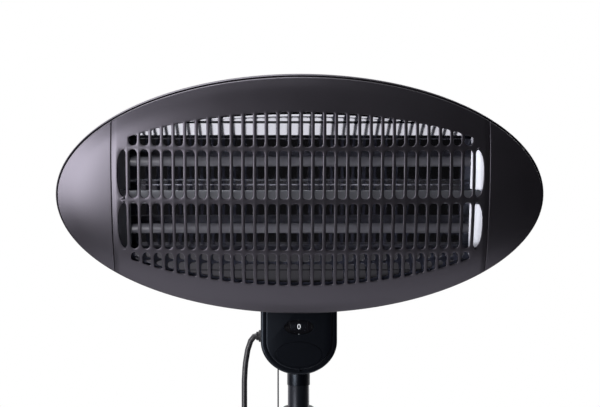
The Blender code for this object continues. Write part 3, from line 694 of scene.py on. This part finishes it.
def round_cutter(radius, low, high, x=0.0, y=0.0, matrix=None):
    bm = bmesh.new()
    bmesh.ops.create_cone(bm, cap_ends=True, segments=64, radius1=radius, radius2=radius,
                          depth=high - low)
    bm.transform((matrix or Matrix()) @ Matrix.Translation((x, y, (high + low) / 2)))
    return bm


def arc_edge(y_end, radius, steps):
    """(inset, y) points of a rounded edge that rolls from a side face to an end face."""
    side = 1 if y_end > 0 else -1
    return [(radius - across, y_end - side * (radius - up))
            for across, up in arc(radius, radius, 0, math.pi / 2, steps)]


WALL = 0.0025
rear_levels = [(WALL, BOX_BACK_Y - WALL), (WALL, BOX_SPLIT_Y), (0, BOX_SPLIT_Y)]
rear_levels += arc_edge(BOX_BACK_Y, 0.0045, 7)
bm = bmesh.new()
skin_rings(bm, [box_outline(*level) for level in rear_levels])
box_rear = make_piece("box_back_shell", bm, plastic_look, "mast", ("switch_box_rear",), 32)
carve(box_rear, round_cutter(NECK_RADIUS + 0.0003, 1.30, 1.352))
carve(box_rear, round_cutter(0.0056, 0.040, 0.060, matrix=Matrix.Translation(
    (0, CORD_Y, GLAND_Z)) @ Matrix.Rotation(-math.pi / 2, 4, "Y")))
bm = bmesh.new()
bmesh.ops.create_cube(bm, size=1)
bm.transform(Matrix.Translation((0, 0.008, 1.465)) @ Matrix.Diagonal((0.029, 0.011, 0.03, 1)))
carve(box_rear, bm)

front_levels = [(0.0095, BOX_FRONT_Y + WALL), (0.0045, -0.0218), (WALL, -0.0205),
                (WALL, BOX_SPLIT_Y - 0.0004), (0.0004, BOX_SPLIT_Y - 0.0004),
                (0, BOX_SPLIT_Y - 0.0009)]
front_levels += arc_edge(-0.0247, 0.0030, 5)
front_levels += [(0.0060, -0.0249), (0.0068, -0.0247), (0.0071, -0.0252), (0.0073, -0.0268)]
front_levels += [(0.0073 + 0.0012 * (1 - math.cos(a)), -0.0268 - 0.0012 * math.sin(a))
                 for a in (0.4, 0.8, 1.2, math.pi / 2)]
bm = bmesh.new()
skin_rings(bm, [box_outline(*level) for level in front_levels])
box_front = make_piece("box_front_shell", bm, plastic_look, "mast", ("switch_box_front",), 32)
carve(box_front, round_cutter(NECK_RADIUS + 0.0003, 1.30, 1.352))
carve(box_front, round_cutter(0.0025, 1.325, 1.350, PULL_X, PULL_Y))
carve(box_front, oval_cutter(0.0188, 0.0095, WINDOW_Z, -0.034, -0.020))
carve(box_front, oval_cutter(0.0300, 0.0167, BADGE_Z, -0.034, -0.0268))

window_look, window_tree, window_shader = finish_look(
    "smoked_window", "clear_window", Coat_Weight=0.6, Base_Color=(0.02, 0.02, 0.025, 1),
    Alpha=0.14)
window_marks = place_group(window_tree, rub, Scale=120.0)
wire(between(window_tree, window_marks["Streak"], 0.04, 0.12), window_shader, "Roughness")
for name, look, node, z, smooth_angle, steps in (
        ("smoked_lens", window_look, "indicator_window", WINDOW_Z, 40,
         ((0.0184, 0.0091, -0.0256), (0.0184, 0.0091, -0.0272), (0.0180, 0.0087, -0.0276),
          (0.0120, 0.0055, -0.0278))),
        ("blank_oval_plate", plastic_look, "badge_plate", BADGE_Z, 25,
         ((0.0296, 0.0163, -0.0270), (0.0296, 0.0163, -0.0275), (0.0293, 0.0160, -0.0277),
          (0.0150, 0.0080, -0.0278)))):
    bm = bmesh.new()
    skin_rings(bm, [oval_ring(wide, high, z, y) for wide, high, y in steps])
    make_piece(name, bm, look, "mast", (node,), smooth_angle)
bm = bmesh.new()
skin_rings(bm, [[(x, y, z) for x, z in ((-wide, 1.3350), (wide, 1.3350), (wide * 0.7, 1.3395),
                                        (-wide * 0.7, 1.3395))]
                for y, wide in ((-0.0262, 0.0012), (-0.0284, 0.0011), (-0.0288, 0.0007))])
make_piece("front_catch", bm, plastic_look, "mast")

neck_profile = rounded(((0.0143, NECK_LOW), (NECK_RADIUS, NECK_LOW), (NECK_RADIUS, 1.3440),
                        (0, 1.3440), (0, 1.3413), (0.0143, 1.3413)), 0.0006, 3)
lathe("neck_sleeve", neck_profile, plastic_look, "mast", ("neck_socket",))


# Indicator drum: a small black moulding behind the oval window, turned by the pull switch,
# with a printed white numeral every quarter turn.  The print glows faintly: a painted glow
# that stands in for light falling on the numerals from the front.
drum_profile = rounded(((0, -0.011), (0.0100, -0.011), (0.0102, -0.0108), (0.0102, 0.0108),
                        (0.0100, 0.011), (0, 0.011)), 0.0003, 2)
DRUM_MIDDLE = Vector((0, -0.0135, WINDOW_Z))
lathe("numeral_drum", drum_profile, plastic_look, "drum", ("indicator_drum",),
      DRUM_MIDDLE, "X", 64)
# The print's emission is painted light: the white numerals glow though no lamp is in the drum.
print_painted_glow_look, print_tree, print_shader = finish_look(
    "white_print_painted_glow", "moulded_plastic", Emission_Color=(0.86, 0.92, 1.0, 1),
    Emission_Strength=0.6)
print_grain = place_group(print_tree, peel, Scale=2000.0)
wire(blend_colour(print_tree, print_grain["Cloud"], (0.80, 0.80, 0.82), (0.95, 0.95, 0.95)),
     print_shader, "Base Color")
for i, numeral in enumerate("0123"):
    text = bpy.data.curves.new(f"numeral_{numeral}", "FONT")
    text.body = numeral
    text.size = 0.0095
    text.extrude = 0.00015
    text.align_x = "CENTER"
    text.align_y = "CENTER"
    text.materials.append(print_painted_glow_look)
    mark = bpy.data.objects.new(f"numeral_{numeral}", text)
    around = Matrix.Rotation(math.tau * i / 4, 4, "X")
    mark.matrix_world = Matrix.Translation(DRUM_MIDDLE) @ around @ Matrix.Translation(
        (0, -0.0105, 0)) @ Matrix.Rotation(math.pi / 2, 4, "X")
    bpy.context.collection.objects.link(mark)
    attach(mark, "drum")


# Head shells: everything from here on is drawn in the head's own frame (X right, Y back,
# Z up, zero in the middle of the rim) and leaned forward into place by HEAD.
HEAD_TILT = math.radians(12)
HEAD = Matrix.Translation(HEAD_MIDDLE) @ Matrix.Rotation(HEAD_TILT, 4, "X")
HEAD_WIDTH, HEAD_HEIGHT, DOME_RISE = 0.590, 0.295, 0.036
DOME_TURN, BEAD_WIDTH = 0.93, 0.0032


def head_piece(name, bm, look, replaced=(), smooth_angle=40):
    bm.transform(HEAD)
    return make_piece(name, bm, look, "head", replaced, smooth_angle)


def head_oval(inset, y, share=1.0):
    return [(x, y, z) for x, z in oval((HEAD_WIDTH / 2 - inset) * share,
                                       (HEAD_HEIGHT / 2 - inset) * share, 192)]


def dome(x, z):
    """Rise of the front at a point: an oval dome that runs out straight near its edge."""
    share = math.hypot(2 * x / HEAD_WIDTH, 2 * z / HEAD_HEIGHT)
    round_share = min(share, DOME_TURN)
    rise = math.sqrt(1 - round_share ** 2)
    return DOME_RISE * (rise - (share - round_share) * round_share / rise)


def front_edge(x):
    """Height of the front panels' edge, just inside the rim bead."""
    wide = HEAD_WIDTH / 2 - BEAD_WIDTH
    return (HEAD_HEIGHT / 2 - BEAD_WIDTH) * math.sqrt(max(0.0, 1 - (x / wide) ** 2))


# Rim band: a rolled steel bead that clamps the front panels to the housing all round.
bead = [(0.0, 0.0), (0.0, -0.0018), (0.0003, -0.0027), (0.0010, -0.0033), (0.0018, -0.0031),
        (0.0023, -0.0023), (0.0025, -0.0010), (0.0025, 0.0)]
bm = bmesh.new()
skin_rings(bm, [head_oval(inset, y) for inset, y in bead], capped=False)
head_piece("rim_bead", bm, paint_look, ("rim_band",), 50)

# Rear housing: one deep-drawn steel bowl with a turned flange, louvres pressed into its back
# above and below, and the screws that hold the rim band.
HOUSING_DEPTH, SHELL = 0.048, 0.0014


def bowl(share):
    return HOUSING_DEPTH * math.sqrt(max(0.0, 1 - share ** 4))


shares = [0.997, 0.990, 0.975, 0.95, 0.92, 0.88, 0.83, 0.77, 0.70, 0.62, 0.53, 0.43, 0.33, 0.22,
          0.11]
rings = [head_oval(0, bowl(s) - SHELL, s - 0.006) for s in reversed(shares)]
rings += [head_oval(0, 0.0003, 0.984), head_oval(0, 0.0003, 0.999), head_oval(0, 0.0007, 1.0),
          head_oval(0, 0.0028, 1.0)]
rings += [head_oval(0, bowl(s), s) for s in shares[1:]]
bm = bmesh.new()
skin_rings(bm, rings)
head_piece("housing_bowl", bm, paint_look, ("rear_housing",), 50)


def bowl_point(x, z, proud=0.0):
    share = math.hypot(2 * x / HEAD_WIDTH, 2 * z / HEAD_HEIGHT)
    return Vector((x, bowl(share) + proud, z))


def skin_grid(bm, grid, flip=False):
    """Faces over rows of vertices that stay open at their ends."""
    for a, b in zip(grid, grid[1:]):
        for i in range(len(a) - 1):
            face = (a[i], b[i], b[i + 1], a[i + 1])
            bm.faces.new(tuple(reversed(face)) if flip else face)


def louvre(bm, x, z, length, rise, up):
    """A pressed scoop: closed at its upper side, open along its lower edge."""
    across, down = 20, 6
    grid = []
    for j in range(down + 1):
        v = j / down
        row = []
        for i in range(across + 1):
            u = 2 * i / across - 1
            swell = (1 - abs(u) ** 3) * math.sin(math.pi / 2 * v)
            row.append(bm.verts.new(bowl_point(x + u * length / 2, z + up * (0.5 - v) * 0.0085,
                                               0.0002 + rise * swell)))
        grid.append(row)
    under = [bm.verts.new(bowl_point(x + (2 * i / across - 1) * length / 2, z - up * 0.0036,
                                     0.0001)) for i in range(across + 1)]
    grid.append(under)
    skin_grid(bm, grid, flip=True)


bm = bmesh.new()
for up in (-1, 1):
    for row in range(3):
        for column in range(-2, 3):
            louvre(bm, column * 0.062, up * (0.060 + row * 0.016), 0.046, 0.0030, up)
bmesh.ops.recalc_face_normals(bm, faces=bm.faces)
head_piece("housing_louvres", bm, paint_look, (), 60)


def pan_screw(bm, place, radius, height):
    """A domed screw head with a cross slot pressed into it, rising along local Z."""
    rings = [[bm.verts.new(place @ Vector((x, y, height * level)))
              for x, y in oval(radius * share, radius * share, 24)]
             for share, level in ((1.0, 0.0), (1.0, 0.35), (0.9, 0.7), (0.65, 0.93),
                                  (0.40, 1.0))]
    skin_loops(bm, rings, capped=False)
    bm.faces.new(list(reversed(rings[0])))
    middle = bm.verts.new(place @ Vector((0, 0, height * 0.55)))
    for i, vert in enumerate(rings[-1]):
        bm.faces.new((vert, rings[-1][(i + 1) % 24], middle))
        if i % 6 in (0, 5):
            vert.co += (middle.co - vert.co) * 0.12


bm = bmesh.new()
for i in range(8):
    angle = math.tau * (i + 0.5) / 8
    x, z = 0.2815 * math.cos(angle), 0.1390 * math.sin(angle)
    spot = bowl_point(x, z, -0.0002)
    out = Vector((2.2 * math.cos(angle), 1.0, 3.0 * math.sin(angle) * 0.7)).normalized()
    pan_screw(bm, Matrix.Translation(spot) @ out.to_track_quat("Z", "Y").to_matrix().to_4x4(),
              0.0032, 0.0018)
head_piece("rim_screws", bm, zinc_look)


# Front grille: one domed steel pressing with four rows of punched slots whose edges are rolled
# in, and rounded shoulders beside the two seams.
SEAM_X, SHEET = 0.2252, 0.0010
SLOT_PITCH, SLOT_HALF, SLOT_COLUMNS = 0.01375, 0.0048, 32
WEB_EDGE, ROW_SPLIT, OUTER_WEB = 0.0604, 0.0627, 0.0650
MIDDLE_WEB, SLOT_MARGIN = 0.0028, 0.0023
SLOT_ARC_HEIGHT, SLOT_ARC_REACH, SLOT_CORNER = 0.1058, 0.288, 0.0021
ACROSS, TALL_STEPS, SHORT_STEPS, TOP_STEPS = 8, 12, 7, 9
SHOULDER, SHOULDER_DROP = 0.0056, 0.0010
# The panels' edge curls back all round: how far out and how far back each step goes.
CURL = ((0.0003, 0.0003), (0.0005, 0.0010), (0.0005, 0.0050))
# The rolled lip of every slot: how far outside the slot and how far back each step lies.
LIP = ((0.0009, 0.0), (0.00045, 0.00012), (0.00014, 0.00042), (0.0, 0.0009))


def slot_arc(x):
    """Height of the outer ends of the slots, on an oval inside the rim."""
    return SLOT_ARC_HEIGHT * math.sqrt(1 - (x / SLOT_ARC_REACH) ** 2)


def panel_point(x, z, sink=0.0):
    """A point of the grille's front face, rolled back beside the seams."""
    roll = SHOULDER_DROP * max(0.0, 1 - (SEAM_X - abs(x)) / SHOULDER) ** 1.1
    return Vector((x, sink + roll - dome(x, z), z))


def lens_limit(z):
    """How far the half-lens slots beside the seams reach outwards at a height."""
    middle, half = (MIDDLE_WEB + WEB_EDGE) / 2, (WEB_EDGE - MIDDLE_WEB) / 2
    share = min(1.0, abs((z - middle) / half))
    return -SLOT_HALF + 2 * SLOT_HALF * (1 - share ** 2.6) ** (1 / 2.2)


def slot_outline(middle, row, grow):
    """Points round a slot, with as many on each side as the cell round it has."""
    half = SLOT_HALF + grow
    if row == 0:
        low, steps = MIDDLE_WEB - grow, TALL_STEPS
    else:
        low, steps = OUTER_WEB - grow, SHORT_STEPS

    def top(x):
        return WEB_EDGE + grow if row == 0 else slot_arc(middle + x) + grow

    # The slots' ends are rounder in the middle of the grille than at its sides.
    square = 2 / (1.8 + 1.1 * math.exp(-(middle / 0.10) ** 2))

    def end(x_share, z_share, upper):
        swell_x = math.copysign(abs(x_share) ** square, x_share)
        swell_z = z_share ** square
        if not upper:
            return half * swell_x, low + half * (1 - swell_z)
        if row == 0:
            return half * swell_x, top(0) - half * (1 - swell_z)
        corner = min(SLOT_CORNER, (top(half * x_share) - low) * 0.3)
        square_x = math.copysign(abs(x_share) ** 0.55, x_share)
        square_z = z_share ** 0.8
        return half * square_x, top(half * square_x) - corner * (1 - square_z)

    right_top, left_top = end(1, 0, True), end(-1, 0, True)
    side_low = min(low + half, right_top[1] - 0.0004, left_top[1] - 0.0004)
    points = []
    for i in range(steps):
        points.append((half, side_low + (right_top[1] - side_low) * i / steps))
    for i in range(ACROSS):
        angle = math.pi * i / ACROSS
        points.append(end(math.cos(angle), math.sin(angle), True))
    for i in range(steps):
        points.append((-half, left_top[1] + (side_low - left_top[1]) * i / steps))
    for i in range(ACROSS):
        angle = math.pi * i / ACROSS
        x, z = end(-math.cos(angle), math.sin(angle), False)
        points.append((x, min(z, side_low)))
    outer = abs(middle) > (SLOT_COLUMNS - 1.5) / 2 * SLOT_PITCH
    if outer:
        side = 1 if middle > 0 else -1
        points = [(side * min(side * x, lens_limit(z) + grow), z) for x, z in points]
    return [(middle + x, z) for x, z in points]


def band_levels(x, band):
    """Heights of the sheet's grid lines at x: middle slots, outer slots, plain edge."""
    if band == 0:
        return [ROW_SPLIT * i / TALL_STEPS for i in range(TALL_STEPS + 1)]
    brow, edge = slot_arc(x) + SLOT_MARGIN, front_edge(x)
    if band == 1:
        return [ROW_SPLIT + (brow - ROW_SPLIT) * i / SHORT_STEPS for i in range(SHORT_STEPS + 1)]
    rows = [brow + (edge - brow) * math.sin(math.pi / 2 * i / TOP_STEPS)
            for i in range(TOP_STEPS + 1)]
    return rows + [edge + out for out, back in CURL]


def add_face(bm, points, mirror, sink=(0, 0, 0, 0)):
    """A face of the front sheet, and its mirror image below the middle."""
    verts = [bm.verts.new(panel_point(x, mirror * z, s)) for (x, z), s in zip(points, sink)]
    bm.faces.new(verts if mirror > 0 else list(reversed(verts)))


def plain_patch(bm, xs, band, mirror):
    for left, right in zip(xs, xs[1:]):
        a, b = band_levels(left, band), band_levels(right, band)
        sinks = [0.0] * len(a)
        if band == 2:
            sinks[-len(CURL):] = [back for out, back in CURL]
        for i in range(len(a) - 1):
            low, high = sinks[i], sinks[i + 1]
            add_face(bm, ((left, a[i]), (right, b[i]), (right, b[i + 1]), (left, a[i + 1])),
                     mirror, (low, low, high, high))


def slotted_cell(bm, xs, middle, band, mirror):
    """A cell of the sheet with one slot in it and the slot's edge rolled in."""
    left, right = band_levels(xs[0], band), band_levels(xs[-1], band)
    border = [(xs[-1], z) for z in right[:-1]]
    border += [(x, band_levels(x, band)[-1]) for x in reversed(xs[1:])]
    border += [(xs[0], z) for z in reversed(left[1:])]
    border += [(x, band_levels(x, band)[0]) for x in xs[:-1]]
    loops = [border] + [slot_outline(middle, band, grow) for grow, sink in LIP]
    sinks = [0] + [sink for grow, sink in LIP]
    for depth in range(len(LIP)):
        a, b = loops[depth], loops[depth + 1]
        for i in range(len(a)):
            j = (i + 1) % len(a)
            add_face(bm, (a[i], a[j], b[j], b[i]), mirror,
                     (sinks[depth], sinks[depth], sinks[depth + 1], sinks[depth + 1]))


half_pitch = SLOT_PITCH / 2
bm = bmesh.new()
for mirror in (1, -1):
    for column in range(SLOT_COLUMNS):
        middle = (column - (SLOT_COLUMNS - 1) / 2) * SLOT_PITCH
        xs = [middle - half_pitch + SLOT_PITCH * i / ACROSS for i in range(ACROSS + 1)]
        slotted_cell(bm, xs, middle, 0, mirror)
        if column in (0, SLOT_COLUMNS - 1):
            plain_patch(bm, xs, 1, mirror)
        else:
            slotted_cell(bm, xs, middle, 1, mirror)
        plain_patch(bm, xs, 2, mirror)
    inner = SLOT_COLUMNS / 2 * SLOT_PITCH
    shoulder_xs = [SEAM_X - (SEAM_X - inner) * (i / 8) ** 1.5 for i in range(9)]
    for side in (1, -1):
        xs = sorted(side * x for x in shoulder_xs)
        for band in range(3):
            plain_patch(bm, xs, band, mirror)
bmesh.ops.remove_doubles(bm, verts=bm.verts, dist=0.00002)
bmesh.ops.dissolve_degenerate(bm, edges=bm.edges, dist=0.00001)
grille = head_piece("slotted_grille", bm, paint_look, ("front_grille",), 60)
primer_look = coated_look("primer_inside", "anthracite_paint", (0.11, 0.12, 0.165),
                          (0.2, 0.2, 0.2), 0.42, dust_amount=0.05, Metallic=0.3)
grille.data.materials.append(primer_look)
add_wall(grille, SHEET).material_offset = 1


# End caps: plain domed steel pressings in the grille's paint, held by the rim bead.
# They carry the dome out to the ends and meet the grille at a dark, narrow seam.
def end_cap(name, side, node):
    first, reach, bend = SEAM_X + 0.0004, HEAD_WIDTH / 2 - BEAD_WIDTH - 0.0002, 0.0005
    rows, count = 40, 30
    columns = [(first, 0.0040), (first, 0.0008), (first + 0.0002, 0.0003), (first + bend, 0.0)]
    flat = first + 2 * bend
    for i in range(count + 1):
        columns.append((flat + (reach - flat) * math.sin(math.pi / 2 * i / count), 0.0))
    bm = bmesh.new()
    grid = []
    for x, sink in columns:
        edge = [(front_edge(x) + out, back) for out, back in CURL]
        line = [(front_edge(x) * math.sin(math.pi / 2 * k / rows), 0.0)
                for k in range(-rows, rows + 1)]
        line = [(-z, back) for z, back in reversed(edge)] + line + edge
        grid.append([bm.verts.new((side * x, sink + back - dome(x, z), z)) for z, back in line])
    skin_grid(bm, grid, side < 0)
    add_wall(head_piece(name, bm, paint_look, (node,), 50), SHEET)


end_cap("left_end_cap", -1, "end_cap_left")
end_cap("right_end_cap", 1, "end_cap_right")


# Reflectors: mirror-polished sheet folded into a trough behind each tube, with a flare that
# opens out to the grille.  The sheet is slightly wavy, as thin polished sheet always is.
polished_look = metal_look("polished_sheet", "polished_aluminium", (0.78, 0.78, 0.82),
                           (0.62, 0.63, 0.68), 0.05, 0.11, bump=0.00004, marks=26.0)
END_PLATE_X = 0.2225
# Across one trough, from the ridge between the two to the lip where the flare begins.
TROUGH = ((0.0008, -0.0065), (0.0078, -0.0065), (0.0084, 0.0275), (0.0656, 0.0275),
          (0.0738, 0.0))
FLARE_SLOPE, FLARE_PAST_SLOTS = 0.49, 0.0035
LOWER_LIP, POLISHED_SHEET = 0.0700, 0.0007


def reflector(name, side, node):
    fold = TROUGH[:-1] + ((TROUGH[-1][0] if side > 0 else LOWER_LIP, 0.0),)
    lip_z = fold[-1][0]
    length = END_PLATE_X - 0.0008
    bm = bmesh.new()
    grid = []
    count = 60
    for i in range(count + 1):
        x = length * (2 * i / count - 1)
        flare_z = max(slot_arc(x) + FLARE_PAST_SLOTS, lip_z + 0.0015)
        folds = []
        for (z0, y0), (z1, y1) in zip(fold, fold[1:]):
            folds += [(z0 + (z1 - z0) * t, y0 + (y1 - y0) * t) for t in (0.015, 0.5, 0.985)]
        for t in (0.015, 0.35, 0.7, 1.0):
            z = lip_z + (flare_z - lip_z) * t
            folds.append((z, FLARE_SLOPE * (lip_z - z)))
        grid.append([bm.verts.new((x, y, side * z)) for z, y in folds])
    skin_grid(bm, grid, side < 0)
    add_wall(head_piece(name, bm, polished_look, (node,), 12), POLISHED_SHEET)


reflector("upper_trough", 1, "reflector_upper")
reflector("lower_trough", -1, "reflector_lower")
satin_look = metal_look("satin_sheet", "polished_aluminium", (0.42, 0.43, 0.47),
                        (0.33, 0.34, 0.38), 0.36, 0.48)
strip_edge = ((0.0075, -0.0070), (0.0080, -0.0076), (0.0074, -0.0082), (-0.0074, -0.0082),
              (-0.0080, -0.0076), (-0.0075, -0.0070))
bm = bmesh.new()
skin_rings(bm, [[(x, y, z) for z, y in strip_edge] for x in (-0.2210, -0.11, 0, 0.11, 0.2210)])
head_piece("ridge_strip", bm, satin_look, (), 30)

# End flares: four strips of satin sheet that lean outwards like the long flares and close the
# ends of the troughs behind the outermost slots.
END_FLARE_IN, END_FLARE_OUT, END_FLARE_Y = 0.2052, 0.2218, -0.0026
END_FLARE_LOW, END_FLARE_HIGH, END_FLARE_THICK = 0.0092, 0.0722, 0.0006
bm = bmesh.new()
for side in (-1, 1):
    for row in (-1, 1):
        drop = FLARE_SLOPE * (END_FLARE_OUT - END_FLARE_IN)
        edge = [(END_FLARE_IN, END_FLARE_Y), (END_FLARE_OUT, END_FLARE_Y - drop),
                (END_FLARE_OUT, END_FLARE_Y - drop + END_FLARE_THICK),
                (END_FLARE_IN, END_FLARE_Y + END_FLARE_THICK)]
        skin_rings(bm, [[(side * x, y, row * z) for x, y in edge]
                        for z in (END_FLARE_LOW, END_FLARE_HIGH)])
head_piece("end_flares", bm, satin_look, (), 30)


# Heating tubes: two milky quartz tubes held in ceramic caps, each with a wound resistance
# wire inside, and a thin steel guard wire across the grille's outer slots.
TUBE_Z, TUBE_Y, TUBE_RADIUS, TUBE_HALF = 0.0413, 0.004, 0.006, 0.231
WINDING_RADIUS, GUARD_Z = 0.0031, 0.0904
quartz_look = cloudy_look("milky_quartz", "frosted_quartz", peel,
                          {"Scale": 160.0, "Cloud_Scale": 55.0}, (0.13, 0.13, 0.155),
                          (0.26, 0.26, 0.30), (0.25, 0.45), Coat_Weight=0.15,
                          Coat_Roughness=0.12, Transmission_Weight=0.35, IOR=1.46)
wire_look = metal_look("wound_wire", "resistance_wire", (0.12, 0.11, 0.10),
                       (0.07, 0.06, 0.06), 0.45, 0.65)
steel_rod_look = metal_look("guard_wire", "zinc_steel", (0.018, 0.018, 0.024),
                            (0.010, 0.010, 0.014), 0.35, 0.5)
for word, row in (("upper", 1), ("lower", -1)):
    middle = (0, TUBE_Y, row * TUBE_Z)
    profile = ((TUBE_RADIUS - 0.0002, -TUBE_HALF), (TUBE_RADIUS, -TUBE_HALF + 0.0005),
               (TUBE_RADIUS, TUBE_HALF - 0.0005), (TUBE_RADIUS - 0.0002, TUBE_HALF),
               (0.005, TUBE_HALF), (0.005, -TUBE_HALF))
    lathe(f"{word}_quartz", profile, quartz_look, "head", (f"quartz_tube_{word}",),
          middle, "X", 40, matrix=HEAD)
    turns, per_turn, coil_reach = 110, 9, 0.2205
    winding = []
    for i in range(turns * per_turn + 1):
        angle = math.tau * i / per_turn
        winding.append((-coil_reach + 2 * coil_reach * i / (turns * per_turn),
                        TUBE_Y + WINDING_RADIUS * math.cos(angle),
                        row * TUBE_Z + WINDING_RADIUS * math.sin(angle)))
    bm = bmesh.new()
    tube_rings(bm, winding, 0.00040, 5)
    head_piece(f"{word}_wound_wire", bm, wire_look, (f"heating_coil_{word}",), 80)
    z = row * GUARD_Z
    rod = ((-0.160, -0.0090, z), (-0.159, -0.0095, z), (0.159, -0.0095, z), (0.160, -0.0090, z))
    bm = bmesh.new()
    tube_rings(bm, smooth_route(rod, 0.002), 0.0007, 10)
    head_piece(f"{word}_guard_wire", bm, steel_rod_look, (f"guard_rod_{word}",), 60)


# Tilt joint: a folded steel fork welded to a plate on the housing, a bolt through the tilt
# lug, and a star knob that clamps it.
PIVOT = Vector((0, 0.008, 1.500))
pivot_local = HEAD.inverted() @ PIVOT
PLATE_Y = HOUSING_DEPTH + 0.0003
fork_high, fork_low = -0.012, -0.062
cheek = [(PLATE_Y, fork_low), (PLATE_Y, fork_high), (PLATE_Y + 0.030, fork_high)]
cheek += [(pivot_local.y + y, pivot_local.z + z)
          for y, z in arc(0.014, 0.014, math.radians(80), math.radians(-80), 24)]
cheek.append((PLATE_Y + 0.012, fork_low - 0.006))


def pull_out(bm, outline, start, depth):
    """A flat (y, z) outline pulled along X into a plate."""
    face = bm.faces.new([bm.verts.new((start, y, z)) for y, z in outline])
    grown = bmesh.ops.extrude_face_region(bm, geom=[face])["geom"]
    moved = [v for v in grown if isinstance(v, bmesh.types.BMVert)]
    bmesh.ops.translate(bm, vec=(depth, 0, 0), verts=moved)


def soften(piece, width, segments):
    edges = piece.modifiers.new("edges", "BEVEL")
    edges.width = width
    edges.segments = segments
    edges.limit_method = "ANGLE"


bm = bmesh.new()
for side in (-1, 1):
    pull_out(bm, cheek, side * 0.0154, side * 0.003)
plate = bmesh.ops.create_cube(bm, size=1)["verts"]
bmesh.ops.transform(bm, verts=plate, matrix=Matrix.Translation(
    (0, PLATE_Y + 0.0015, (fork_high + fork_low) / 2)) @ Matrix.Diagonal(
    (0.0368, 0.003, fork_high - fork_low, 1)))
bmesh.ops.recalc_face_normals(bm, faces=bm.faces)
soften(head_piece("folded_fork", bm, paint_look, ("tilt_fork",), 30), 0.0007, 3)

bm = bmesh.new()
to_x = Matrix.Rotation(math.pi / 2, 4, "Y")
hex_head(bm, HEAD @ Matrix.Translation(pivot_local) @ Matrix.Rotation(-math.pi / 2, 4, "Y") @
         Matrix.Translation((0, 0, 0.0188)), Matrix(), 0.0085, 0.0058)
make_piece("pivot_bolt_head", bm, zinc_look, "head", ("pivot_bolt",), 30)
shank_profile = [(0, -0.0188), (0.0049, -0.0188), (0.0049, 0.0185),
                 *thread(0.0050, 0.0045, 0.0190, 0.0012, 9), (0.0045, 0.0300), (0, 0.0300)]
lathe("pivot_bolt_shank", shank_profile, zinc_look, "head", (), pivot_local, "X", 32,
      matrix=HEAD)
star_knob("tilt_star_knob", "tilt_knob", "tilt_knob", 0.019, 0.0205, 0.042, PIVOT, "X")

LUG_LOW, LUG_HALF = 1.3444, 0.013
bm = bmesh.new()
outline = [(PIVOT.y - 0.004, LUG_LOW), (PIVOT.y + 0.004, LUG_LOW)]
outline += [(PIVOT.y + y, PIVOT.z + z)
            for y, z in arc(0.012, 0.012, math.radians(-70), math.radians(250), 32)]
pull_out(bm, outline, -LUG_HALF, 2 * LUG_HALF)
bmesh.ops.recalc_face_normals(bm, faces=bm.faces)
lug = make_piece("tilt_tongue", bm, zinc_look, "mast", ("tilt_lug",), 30)
carve(lug, round_cutter(0.0053, -0.03, 0.03, matrix=Matrix.Translation(PIVOT) @ to_x))
soften(lug, 0.0006, 2)


# Screws: zinc-plated cross-slotted pan heads, two that close the switch box from behind and
# two that hold the fork's plate to the housing.
bm = bmesh.new()
for z in (1.452, 1.362):
    pan_screw(bm, Matrix.Translation((0, 0.0279, z)) @ Matrix.Rotation(-math.pi / 2, 4, "X"),
              0.0034, 0.0022)
make_piece("box_pan_screws", bm, zinc_look, "mast", ("box_screw_upper",
                                                     "box_screw_lower"))
bm = bmesh.new()
for x in (-0.009, 0.009):
    pan_screw(bm, Matrix.Translation((x, PLATE_Y + 0.0030, -0.037)) @
              Matrix.Rotation(-math.pi / 2, 4, "X"), 0.0040, 0.0026)
head_piece("fork_pan_screws", bm, zinc_look, ("fork_screw_left", "fork_screw_right"))


# Parts carried over from the frame: the ballast, joiner, bushes, washers, ceramic caps and
# switches inside, whose turned or moulded shapes are right and only need their finish.
ceramic_look = cloudy_look("steatite", "white_ceramic", peel,
                           {"Scale": 500.0, "Cloud_Scale": 90.0}, (0.72, 0.69, 0.62),
                           (0.84, 0.82, 0.77), (0.45, 0.65), 0.00004)
insulator_look = coated_look("insulating_moulding", None, (0.55, 0.55, 0.53),
                             (0.4, 0.4, 0.38), 0.45)
ballast_look = metal_look("ballast_zinc", "zinc_steel", (0.50, 0.50, 0.50),
                          (0.36, 0.37, 0.38), 0.35, 0.55, bump=0.00004, marks=18.0)
carried = {
    "ballast_plate": ballast_look, "base_bolt": zinc_look, "pole_joiner": zinc_look,
    "guide_bush": plastic_look, "pull_switch": insulator_look,
    "terminal_block": insulator_look, "tip_over_switch": insulator_look,
    "pivot_washer": zinc_look, "reflector_end_left": satin_look,
    "reflector_end_right": satin_look,
}
for word in ("upper", "lower"):
    for hand in ("left", "right"):
        carried[f"tube_holder_{word}_{hand}"] = ceramic_look
for node, look in carried.items():
    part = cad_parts[node]
    part.data.materials.clear()
    part.data.materials.append(look)
